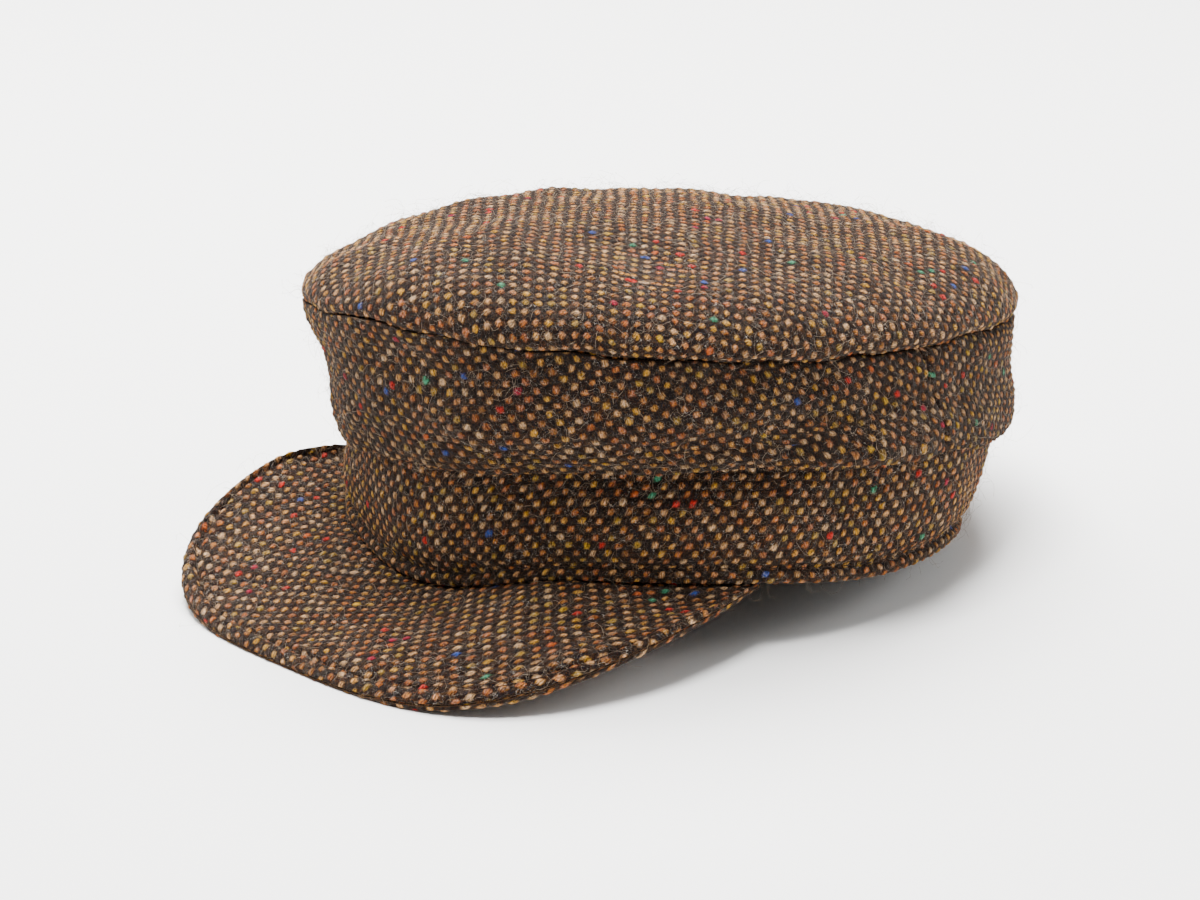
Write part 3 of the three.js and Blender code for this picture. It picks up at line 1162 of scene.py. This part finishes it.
        # The panel is cut as an arc, so its threads lean further towards the side seams.
        angle = along[:, None] / self.cut_radius
        reach = self.cut_radius + run
        threads = WEAVE.threads(np.stack([reach * np.sin(angle), reach * np.cos(angle)], -1), self.seed)
        level = np.clip((run - 4) / (run[:, -1:] - 7), 0, 1)
        dents = dented(outer, self.dents, self.seed + 1) + self.folds(heading[:, None], level)
        dents *= np.clip(np.minimum(run, run[:, -1:] - run) / 6, 0, 1)
        normals = grid_normals(outer, False)
        outer = outer + normals * (WEAVE.relief(threads) - WEAVE.sink + dents)[..., None]
        shell = Shell()
        skin = shell.add(outer, threads)
        back = shell.add(inner[:, ::-1], WEAVE.inner(along, inner.shape[1]))
        shell.sheet(np.concatenate([skin, back, skin[:, :1]], axis=1))
        shell.end(skin[0], back[0, ::-1], True)
        shell.end(skin[-1], back[-1, ::-1], False)
        return self.settle(shell, self.name, (self.node,), Slot.SIDE), outer


@dataclass
class CrownTop(ClothPiece):
    """The domed top, whose edge puffs out over the seam."""

    columns: int = 832
    rows: int = 164
    inner_rows: int = 12
    inner_skip: int = 8
    allowance: float = 2.4
    dents: tuple[tuple[float, float], ...] = ((0.8, 60.0), (0.4, 26.0))

    def surface(self, heading: Array, inside: bool) -> Array:
        """One side of the dome.

        Args:
            heading: Headings of the columns.
            inside: Whether it is the inner side.

        Returns:
            Fine rows from the seam to the middle.
        """
        form = self.form
        seam = form.seam(heading)
        power = 2 / (form.dome_squareness * form.share("squareness", heading))
        middle = np.array([0.0, -form.seam_forward, 0.0])
        rise = form.dome_rise - (form.cloth_wall if inside else 0.0)
        # The seam allowance hangs down inside the side panel and closes the seam to the light.
        inwards = form.cloth_wall + (0.9 if inside else 0.3)
        rows = []
        for drop in (self.allowance, -0.1):
            point = form.outwards(seam, heading, -inwards)
            point[:, 2] += form.seam_gap - drop
            rows.append(point)
        for turn in np.linspace(0, 1, 240) ** 1.6:
            angle = np.pi / 2 * turn
            share, lift = max(np.cos(angle), 0.0) ** power, np.sin(angle) ** power
            roll = form.edge_roll * np.sin(min(np.pi, 2.5 * angle))
            rim = (seam[:, 2] - form.seam_height) * share ** 2
            up = rise * lift
            # The cloth turns in under its own edge, down to the seam.
            if inside:
                curl = -form.cloth_wall - 0.7 * np.exp(-((up / 2.5) ** 2))
            else:
                lip, groove = 0.9 * np.exp(-(((up - 3.4) / 2.1) ** 2)), 2.0 * np.exp(-((up / 1.3) ** 2))
                curl = (lip - groove) * seam_depth(heading)
            point = middle + (form.outwards(seam, heading, roll + curl) - middle) * share[:, None]
            point[:, 2] = form.seam_height + form.seam_gap + 0.1 + rim + up
            rows.append(point)
        return np.stack(rows, 1)

    def build(self) -> tuple[bpy.types.Object, Array]:
        """Builds the top.

        Returns:
            The piece, and the grid of its outer side.
        """
        heading = even_headings(45.0, 405.0, self.columns)[:-1]
        outer, run = even_rows(self.surface(heading, False), self.rows)
        left = run[:, -1:] - run
        s, c = np.sin(np.radians(heading))[:, None], np.cos(np.radians(heading))[:, None]
        threads = WEAVE.threads(np.stack([left * s, -left * c], -1), 51)
        normals = grid_normals(outer, True)
        normals[:, -1] = (0, 0, 1)
        dents = dented(outer, self.dents, 52) * np.clip(run / 14, 0, 1)
        outer = outer + normals * (WEAVE.relief(threads) - WEAVE.sink + dents)[..., None]
        shell = Shell()
        rings = []
        for row in range(self.rows - 1):
            # Towards the middle the rings get fewer points, halved each time that they crowd.
            share = 1 - row / (self.rows - 1)
            skip = 1
            while share * skip < 0.6 and skip < 64:
                skip *= 2
            numbers = shell.add(outer[::skip, row], threads[::skip, row])
            rings.append(np.append(numbers, numbers[0]))
        for low, high in zip(rings[:-1], rings[1:]):
            if len(low) == len(high):
                shell.sheet(np.stack([low, high], 1))
            else:
                shell.lace(low, high)
        pole = int(shell.add(outer[:1, -1], threads[:1, -1])[0])
        shell.faces.append(np.array([(a, b, pole, -1) for a, b in zip(rings[-1][:-1], rings[-1][1:])]))
        self.line(shell, heading, rings[0])
        return self.settle(shell, "crown_cloth", ("crown_top",), Slot.TOP), outer

    def line(self, shell: Shell, heading: Array, rim: Array) -> None:
        """Adds the inner side of the wall and joins it to the outer one.

        Args:
            shell: The wall so far.
            heading: Headings of the columns.
            rim: The outer side's lowest ring.
        """
        inner, _ = even_rows(self.surface(heading[::self.inner_skip], True), self.inner_rows)
        flat = inner[..., :2] / WEAVE.pitch
        numbers = shell.add(inner[:, :-1], flat[:, :-1])
        numbers = np.concatenate([numbers, numbers[:1]])
        shell.sheet(numbers[:, ::-1])
        centre = int(shell.add(inner[:1, -1], flat[:1, -1])[0])
        shell.faces.append(np.array([(b, a, centre, -1) for a, b in zip(numbers[:-1, -1], numbers[1:, -1])]))
        rim, low = rim[::-1], numbers[::-1, 0]
        shell.lace(rim, low)


class Cover(Enum):
    """The two cloth covers of the peak."""

    UPPER = 1
    UNDER = -1


@dataclass
class PeakCover(ClothPiece):
    """One cover of the peak, from under the hem out to the rolled edge."""

    cover: Cover = Cover.UPPER
    name: str = "peak_cloth_upper"
    node: str = "peak_upper"
    columns: int = 470
    rows: int = 98
    inner_rows: int = 8
    stitch_inset: float = 4.6
    end_dive: float = 3.0
    turned_up: tuple[tuple[float, float], ...] = ((0.3, 0.6), (0.5, 3.4))
    turned_up_inside: tuple[tuple[float, float], ...] = ((1.3, -0.4), (1.4, 3.4))
    grain_turn: float = -11.0
    grain_fan: float = 0.33
    grain_middle: float = 105.0
    relief_share: float = 0.9
    relief_sink: float = 0.22
    dents: tuple[tuple[float, float], ...] = ((0.45, 45.0), (0.2, 18.0))
    seed: int = 71

    def places(self) -> Array:
        """Places along the peak, spread evenly over its edge and its root.

        Returns:
            The places, from -1 to 1.
        """
        fine = np.linspace(-1, 1, 6001)
        run = 0.0
        hem = self.form.hem(self.form.peak_end_heading * fine)
        for curve, weight in ((self.form.peak_edge(fine), 0.75), (hem, 0.25)):
            steps = np.linalg.norm(np.diff(curve, axis=0), axis=1)
            run = run + weight * np.concatenate([[0], np.cumsum(steps)])
        return np.interp(np.linspace(0, run[-1], self.columns + 1), run, fine)

    @staticmethod
    def thinning(place: Array) -> Array:
        """How thick the cloth is, as a share, where the peak's ends are pressed flat under the hem."""
        return 1 - 0.8 * np.clip((np.abs(place) - 0.93) / 0.07, 0, 1) ** 2

    def stand_off(self, inset: Array, wall: Array) -> Array:
        """How far the cover's outer face stands from the middle of the peak.

        Args:
            inset: Distance in from the edge.
            wall: Thickness of the cover.

        Returns:
            The distance.
        """
        gap = self.form.seam_gap / 2
        radius = 2.4 if self.cover is Cover.UPPER else 1.6
        round_off = np.sqrt(np.clip(1 - (1 - np.clip(inset / radius, 0, 1)) ** 2, 0, 1))
        out = gap + wall * (0.12 + 0.88 * round_off)
        if self.cover is Cover.UPPER:
            # A soft roll along the edge, and the groove that the topstitching pulls in.
            out = out + 0.35 * np.exp(-(((inset - 2.6) / 1.2) ** 2))
            out = out - 1.25 * np.exp(-(((inset - self.stitch_inset) / 0.8) ** 2))
        return out

    def surface(self, place: Array) -> tuple[Array, Array]:
        """The cover's outer and inner face, from the edge to the root.

        Args:
            place: Places along the peak.

        Returns:
            Fine rows of the outer face and of the inner face.
        """
        form, side = self.form, self.cover.value
        wall = form.peak_wall(place) * self.thinning(place)
        length = form.peak_length(place)
        # The ends taper into the hem.
        taper = np.sqrt(np.clip(1 - np.clip((np.abs(place) - 0.86) / 0.14, 0, 1) ** 2, 0.03, 1))
        length = length * taper
        heading = form.peak_end_heading * place
        lift = 0.8 * (form.peak_wall(place) - wall) + 0.6 * (1 - self.thinning(place))
        dive = -self.end_dive * np.clip((np.abs(place) - 0.9) / 0.1, 0, 1) ** 2
        outer, inner = [], []
        for share in np.linspace(0, 1, 260) ** 1.9:
            across = (1 - share) * taper
            point = form.outwards(form.peak_middle(place, across), heading, dive)
            point[:, 2] += side * self.stand_off(share * length, wall) + lift
            outer.append(point)
        lip = form.peak_middle(place, np.zeros_like(place))
        root = form.outwards(lip, heading, -form.peak_tuck - form.seam_gap)
        tucked = root.copy()
        tucked[:, 2] += side * (form.seam_gap / 2 + wall)
        outer.append(tucked)
        for across in np.linspace(0.995, 0, self.inner_rows):
            point = form.outwards(form.peak_middle(place, across * taper), heading, dive)
            point[:, 2] += side * form.seam_gap / 2 + lift
            inner.append(point)
        root[:, 2] += side * form.seam_gap / 2
        inner.append(root)
        if self.cover is Cover.UPPER:
            # The seam allowance is turned up inside the band, so no light comes through the seam.
            hem = form.hem(heading)
            for rows, steps in ((outer, self.turned_up), (inner, self.turned_up_inside)):
                for inwards, up in steps:
                    point = form.outwards(hem, heading, -form.peak_tuck - form.seam_gap - inwards)
                    point[:, 2] = hem[:, 2] + up
                    rows.append(point)
        return np.stack(outer, 1), np.stack(inner, 1)

    def build(self) -> tuple[bpy.types.Object, Array]:
        """Builds the cover.

        Returns:
            The piece, and the grid of its outer face.
        """
        place = self.places()
        fine, inner = self.surface(place)
        if self.cover is Cover.UNDER:
            fine, inner = fine[:, ::-1], inner[:, ::-1]
        outer, run = even_rows(fine, self.rows)
        root, edge = (0, -1) if self.cover is Cover.UNDER else (-1, 0)
        inward = np.abs(run - run[:, [root]])
        lip = outer[:, root, :2]
        way = unit(outer[:, edge, :2] - lip)
        flat = lip[:, None] + way[:, None] * inward[..., None]
        # The cover is cut flat and bent, so its threads turn a little with the peak.
        turn = np.radians(self.grain_turn + self.grain_fan * self.form.peak_end_heading * place)[:, None]
        s, c = np.sin(turn), np.cos(turn)
        x, y = flat[..., 0], flat[..., 1] + self.grain_middle
        threads = WEAVE.threads(np.stack([c * x + s * y, c * y - s * x], -1), self.seed)
        normals = grid_normals(outer, False)
        dents = dented(outer, self.dents, self.seed + 1)
        rim = inward.max(axis=1, keepdims=True) - inward
        dents *= np.clip(np.minimum(inward - 4, rim - 5) / 8, 0, 1)
        relief = self.relief_share * WEAVE.relief(threads) - self.relief_sink
        relief *= self.thinning(place)[:, None]
        outer = outer + normals * (relief + dents)[..., None]
        shell = Shell()
        skin = shell.add(outer, threads)
        back = shell.add(inner[:, ::-1], inner[:, ::-1, :2] / WEAVE.pitch)
        shell.sheet(np.concatenate([skin, back, skin[:, :1]], axis=1))
        shell.end(skin[0], back[0, ::-1], True)
        shell.end(skin[-1], back[-1, ::-1], False)
        return self.settle(shell, self.name, (self.node,), Slot.PEAK), outer

    def stitch_line(self, count: int = 400) -> Array:
        """The line of topstitching inside the peak's rolled edge.

        Args:
            count: How many points the line has.

        Returns:
            The points of the line.
        """
        place = 0.88 * np.sin(np.linspace(-np.pi / 2, np.pi / 2, count))
        length = self.form.peak_length(place)
        across = 1 - np.minimum(self.stitch_inset / length, 0.6)
        points = self.form.peak_middle(place, across)
        points[:, 2] += self.stand_off((1 - across) * length, self.form.peak_wall(place)) + 0.18
        return points


def set_inputs(modifier: bpy.types.NodesModifier, values: dict[str, object]) -> None:
    """Gives a Geometry Nodes modifier its named inputs.

    Args:
        modifier: The modifier.
        values: For each input's name, its value.
    """
    for item in modifier.node_group.interface.items_tree:
        if item.item_type == "SOCKET" and item.in_out == "INPUT" and item.name in values:
            modifier[item.identifier] = values[item.name]


def new_tree(name: str, sizes: dict[str, float]) -> tuple[bpy.types.NodeTree, bpy.types.Node]:
    """Starts a Geometry Nodes tree.

    Args:
        name: Name of the tree.
        sizes: Name and usual value of each number that it takes.

    Returns:
        The tree and its input node.
    """
    tree = bpy.data.node_groups.new(name, "GeometryNodeTree")
    tree.interface.new_socket("Geometry", in_out="INPUT", socket_type="NodeSocketGeometry")
    for label, value in sizes.items():
        tree.interface.new_socket(label, in_out="INPUT", socket_type="NodeSocketFloat").default_value = value
    tree.interface.new_socket("Geometry", in_out="OUTPUT", socket_type="NodeSocketGeometry")
    return tree, tree.nodes.new("NodeGroupInput")


def close_tree(tree: bpy.types.NodeTree, shapes: bpy.types.NodeSocket, material: bpy.types.Material) -> None:
    """Ends a tree with real shapes in their material.

    Args:
        tree: The tree.
        shapes: The shapes so far.
        material: Their material.
    """
    real = add_node(tree, "GeometryNodeRealizeInstances", {0: shapes})
    made = add_node(tree, "GeometryNodeSetMaterial", {"Geometry": real.outputs[0], "Material": material})
    out = tree.nodes.new("NodeGroupOutput")
    tree.links.new(made.outputs[0], out.inputs[0])


def grow(
    name: str, guide: bpy.types.Object, tree: bpy.types.NodeTree, values: dict[str, object], slot: Slot
) -> bpy.types.Object:
    """Grows a piece on a guide and keeps it as a plain mesh.

    Args:
        name: Name of the piece.
        guide: The object that carries the tree. It is removed.
        tree: The Geometry Nodes tree.
        values: The tree's named inputs.
        slot: The material slot of the record; it is not used.

    Returns:
        The piece.
    """
    modifier = guide.modifiers.new("grow", "NODES")
    modifier.node_group = tree
    set_inputs(modifier, values)
    mesh = bpy.data.meshes.new_from_object(guide.evaluated_get(bpy.context.evaluated_depsgraph_get()))
    guide.modifiers.remove(modifier)
    bpy.data.objects.remove(guide)
    mesh.name = name
    mesh.polygons.foreach_set("use_smooth", np.ones(len(mesh.polygons), bool))
    # Nothing that grows on the cap goes through the floor.
    places = np.empty(3 * len(mesh.vertices), np.float32)
    mesh.vertices.foreach_get("co", places)
    places[2::3] = np.maximum(places[2::3], LEAST_HEIGHT)
    mesh.vertices.foreach_set("co", places)
    piece = bpy.data.objects.new(name, mesh)
    bpy.context.scene.collection.objects.link(piece)
    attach(piece, "root")
    LOG.info("%s: %d faces", name, len(mesh.polygons))
    return piece


@dataclass
class Topstitching:
    """A row of lockstitches that follows a line."""

    form: CapForm
    thread: bpy.types.Material
    stitch: float = 3.0
    thickness: float = 0.5

    def sizes(self) -> dict[str, float]:
        """The tree's sizes in metres."""
        return {"Pitch": self.stitch / 1000, "Thickness": self.thickness / 1000}

    def tree(self) -> bpy.types.NodeTree:
        """Builds the tree that lays a stitch at every step of the line.

        Returns:
            The tree.
        """
        tree, given = new_tree("topstitching", self.sizes())
        add = partial(add_node, tree)
        pitch, thickness = given.outputs["Pitch"], given.outputs["Thickness"]
        line = add("GeometryNodeMeshToCurve", {0: given.outputs["Geometry"]})
        points = add("GeometryNodeCurveToPoints", {"Curve": line, "Length": pitch}, mode="LENGTH")
        turn = add("FunctionNodeAlignRotationToVector", {"Vector": points.outputs["Tangent"]}, axis="X")
        half = add("ShaderNodeMath", {0: thickness, 1: 0.5}, operation="MULTIPLY")
        long = add("ShaderNodeMath", {0: pitch, 1: 0.4}, operation="MULTIPLY")
        size = add("ShaderNodeCombineXYZ", {0: long, 1: half, 2: half})
        grain = add("GeometryNodeMeshUVSphere", {"Segments": 6, "Rings": 5, "Radius": 1.0})
        laid = add("GeometryNodeInstanceOnPoints", {
            "Points": points, "Instance": grain, "Rotation": turn, "Scale": size})
        close_tree(tree, laid.outputs[0], self.thread)
        return tree

    def sew(self, name: str, line: Array, slot: Slot) -> bpy.types.Object:
        """Sews along a line.

        Args:
            name: Name of the piece.
            line: Points of the line in the cap's own frame.
            slot: The material slot of the record; it is not used.

        Returns:
            The piece.
        """
        mesh = bpy.data.meshes.new(name + "_line")
        mesh.from_pydata(self.form.stand(line).tolist(), [(k, k + 1) for k in range(len(line) - 1)], [])
        guide = bpy.data.objects.new(name + "_line", mesh)
        bpy.context.scene.collection.objects.link(guide)
        return grow(name, guide, self.tree(), self.sizes(), slot)


@dataclass
class WoolFibres:
    """Loose curled fibres that stand off the cloth."""

    form: CapForm
    wool: bpy.types.Material
    density: float = 88000.0
    radius: float = 2.2
    sweep: float = 2.4
    points: int = 4
    thickness: float = 0.05
    seed: int = 5
    tilt: float = 0.75
    push: float = 0.0045

    def sizes(self) -> dict[str, float]:
        """The tree's sizes in metres, and how many fibres grow on a square metre."""
        return {"Density": self.density, "Radius": self.radius / 1000, "Thickness": self.thickness / 1000}

    def tree(self) -> bpy.types.NodeTree:
        """Builds the tree that scatters curled arcs over the cloth.

        Returns:
            The tree.
        """
        tree, given = new_tree("wool_fibres", self.sizes())
        add = partial(add_node, tree)
        radius = given.outputs["Radius"]
        spots = add("GeometryNodeDistributePointsOnFaces", {
            "Mesh": given.outputs["Geometry"], "Density": given.outputs["Density"], "Seed": self.seed})
        # An arc that starts at its spot and bends away from it.
        arc = add("GeometryNodeCurveArc", {
            "Resolution": self.points, "Radius": radius, "Start Angle": 0.0, "Sweep Angle": self.sweep})
        back = add("ShaderNodeMath", {0: radius, 1: -1.0}, operation="MULTIPLY")
        away = add("ShaderNodeCombineXYZ", {0: back})
        arc = add("GeometryNodeTransform", {"Geometry": arc, "Translation": away})
        upright = add("FunctionNodeAlignRotationToVector", {"Vector": spots.outputs["Normal"]}, axis="Z")
        spin = add("FunctionNodeRandomValue", {
            0: (-self.tilt, -self.tilt, 0.0), 1: (self.tilt, self.tilt, 6.283), "Seed": self.seed + 1,
        }, data_type="FLOAT_VECTOR")
        turn = add("FunctionNodeEulerToRotation", {0: spin})
        turned = add("FunctionNodeRotateRotation", {0: upright, 1: turn}, rotation_space="LOCAL")
        size = add("FunctionNodeRandomValue", {2: 0.35, 3: 1.5, "Seed": self.seed + 2}, data_type="FLOAT")
        laid = add("GeometryNodeInstanceOnPoints", {
            "Points": spots, "Instance": arc, "Rotation": turned, "Scale": size.outputs[1]})
        real = add("GeometryNodeRealizeInstances", {0: laid})
        # The free end is blown about, so each fibre curls its own way.
        where = add("GeometryNodeInputPosition")
        wind = add("ShaderNodeTexNoise", {"Vector": where, "Scale": 330.0, "Detail": 2.0})
        centred = add("ShaderNodeVectorMath", {
            0: wind.outputs["Color"], 1: (0.5, 0.5, 0.5)}, operation="SUBTRACT")
        pushed = add("ShaderNodeVectorMath", {0: centred, 3: self.push}, operation="SCALE")
        along = add("GeometryNodeSplineParameter")
        eased = add("ShaderNodeVectorMath", {0: pushed, 3: along}, operation="SCALE")
        curled = add("GeometryNodeSetPosition", {"Geometry": real, "Offset": eased})
        half = add("ShaderNodeMath", {0: given.outputs["Thickness"], 1: 0.5}, operation="MULTIPLY")
        ring = add("GeometryNodeCurvePrimitiveCircle", {"Resolution": 3, "Radius": half})
        tube = add("GeometryNodeCurveToMesh", {"Curve": curled, "Profile Curve": ring, "Fill Caps": True})
        close_tree(tree, tube.outputs[0], self.wool)
        return tree

    def scatter(self, name: str, grids: list[Array]) -> bpy.types.Object:
        """Scatters the fibres over the outer sides of the cloth.

        Args:
            name: Name of the piece.
            grids: Grids of the cloth's outer sides, in the cap's own frame.

        Returns:
            The piece.
        """
        points, faces, count = [], [], 0
        for grid in grids:
            part = self.form.stand(grid)
            numbers = count + np.arange(part.shape[0] * part.shape[1]).reshape(part.shape[:2])
            corners = (numbers[:-1, :-1], numbers[1:, :-1], numbers[1:, 1:], numbers[:-1, 1:])
            faces += np.stack(corners, -1).reshape(-1, 4).tolist()
            points += part.reshape(-1, 3).tolist()
            count += numbers.size
        mesh = bpy.data.meshes.new(name + "_ground")
        mesh.from_pydata(points, [], faces)
        guide = bpy.data.objects.new(name + "_ground", mesh)
        bpy.context.scene.collection.objects.link(guide)
        return grow(name, guide, self.tree(), self.sizes(), Slot.TOP)


@dataclass
class Studio:
    """The pale floor, the soft lights and the camera at the photograph's angle."""

    azimuth: float = 45.5
    elevation: float = 18.43
    distance: float = 1.2
    focal_pixels: float = 4035.9
    aim: tuple[float, float, float] = (0.0, 0.0, 0.05)
    offset: tuple[float, float] = (44.36, -62.6)
    floor_half: float = 6.0
    sky: float = 0.26
    # Soft square lights: name, place in metres, side in metres, power in watts.
    lights: tuple[tuple[str, tuple[float, float, float], float, float], ...] = (
        ("key", (0.1, -0.4, 1.6), 0.6, 50.0), ("overhead", (-0.5, 0.4, 1.4), 1.2, 96.0),
        ("left", (-1.5, -0.4, 0.65), 0.9, 30.0), ("right", (0.75, 1.5, 0.6), 0.9, 20.0),
    )

    def camera(self) -> None:
        """Sets the camera where the photograph was taken from."""
        a, e = np.radians(self.azimuth), np.radians(self.elevation)
        back = np.array([np.sin(a) * np.cos(e), -np.cos(a) * np.cos(e), np.sin(e)])
        right = np.array([np.cos(a), np.sin(a), 0.0])
        up = np.cross(back, right)
        target = np.array(self.aim) + np.array([SHAPE_OFFSET[0], SHAPE_OFFSET[1], 0]) / 1000
        place = target + back * self.distance
        scale = self.distance / self.focal_pixels
        seen = target - self.offset[0] * scale * right + self.offset[1] * scale * up
        data = bpy.data.cameras.new("camera")
        data.sensor_width = 36.0
        data.lens = 36.0 * self.focal_pixels / 1200
        data.clip_start, data.clip_end = 0.05, 50.0
        camera = bpy.data.objects.new("camera", data)
        camera.location = Vector(place)
        camera.rotation_euler = Vector(seen - place).to_track_quat("-Z", "Y").to_euler()
        bpy.context.scene.collection.objects.link(camera)
        bpy.context.scene.camera = camera

    def light(self, name: str, place: tuple[float, float, float], size: float, power: float) -> None:
        """Adds a soft square light that looks at the cap.

        Args:
            name: Name of the light.
            place: Where it stands, in metres.
            size: Its side in metres.
            power: Its power in watts.
        """
        data = bpy.data.lights.new(name, "AREA")
        data.size, data.energy = size, power
        lamp = bpy.data.objects.new(name, data)
        lamp.location = place
        lamp.rotation_euler = (Vector((0, 0, 0.05)) - Vector(place)).to_track_quat("-Z", "Y").to_euler()
        bpy.context.scene.collection.objects.link(lamp)

    def build(self) -> None:
        """Builds the floor, the sky and the lights."""
        mesh = bpy.data.meshes.new("floor")
        half, low = self.floor_half, -0.0003
        corners = [(-half, -half, low), (half, -half, low), (half, half, low), (-half, half, low)]
        mesh.from_pydata(corners, [], [(0, 1, 2, 3)])
        floor = bpy.data.objects.new("floor", mesh)
        bpy.context.scene.collection.objects.link(floor)
        paper = bpy.data.materials.new("pale_paper")
        paper.use_nodes = True
        shader = paper.node_tree.nodes["Principled BSDF"]
        shader.inputs["Base Color"].default_value = linear("#fbfaf8")
        shader.inputs["Roughness"].default_value = 0.9
        shader.inputs["Specular IOR Level"].default_value = 0.1
        mesh.materials.append(paper)
        floor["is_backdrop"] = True
        world = bpy.data.worlds.new("studio")
        world.use_nodes = True
        world.node_tree.nodes["Background"].inputs["Color"].default_value = (1.0, 1.0, 1.0, 1.0)
        world.node_tree.nodes["Background"].inputs["Strength"].default_value = self.sky
        bpy.context.scene.world = world
        for name, place, size, power in self.lights:
            self.light(name, place, size, power)
        self.camera()


def main() -> None:
    """Builds the cap, its finishes and the studio."""
    logging.basicConfig(level=logging.INFO, format="%(name)s: %(message)s")
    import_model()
    cad_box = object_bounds()
    form = CapForm()
    Studio().build()
    # The pieces are one cloth; each lightness is set to how bright that piece looks under these lights, so
    # the differences are painted light and shade.
    band = Headband(form, DonegalTweed(Slot.BAND, 0.52).material())
    _, band_grid = band.build()
    # The side panel's low lightness is painted shade: its cloth is dyed darker where the light on it is dim.
    side = DonegalTweed(Slot.SIDE, 0.35).material()
    _, front_grid = SidePanel(form, side).build()
    back = SidePanel(form, side, "side_cloth_back", "side_panel_back", 98.0, 262.0, 400, 70, seed=41)
    _, back_grid = back.build()
    _, crown_grid = CrownTop(form, DonegalTweed(Slot.TOP, 0.45).material()).build()
    peak = DonegalTweed(Slot.PEAK).material()
    upper = PeakCover(form, peak)
    _, upper_grid = upper.build()
    PeakCover(form, peak, Cover.UNDER, "peak_cloth_under", "peak_under", 300, 60, seed=81).build()
    sewing = Topstitching(form, PlainWool("brown_sewing_thread", "#1c1410", "#35271d", 1.5).material())
    sewing.sew("hem_stitches", band.groove(), Slot.BAND)
    sewing.sew("peak_stitches", upper.stitch_line(), Slot.PEAK)
    wool = PlainWool("loose_wool", "#4d3d2f", "#a39079", 2.0).material()
    # The wool grows on a coarser copy of the cloth, away from the seams.
    ground = [band_grid[::9, 6:-6:7], front_grid[::8, 4:-4:7], back_grid[::7, 4:-4:7]]
    ground += [crown_grid[::9, 3::6], upper_grid[::8, ::7]]
    WoolFibres(form, wool, 70000.0).scatter("wool_fuzz", ground)
    WoolFibres(form, wool, 40000.0, 3.4, 2.9, 7, 0.055, 15).scatter("stray_fibres", ground)
    [[list(map(float, corner)) for corner in box] for box in (cad_box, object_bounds())]


if __name__ == "__main__":
    main()
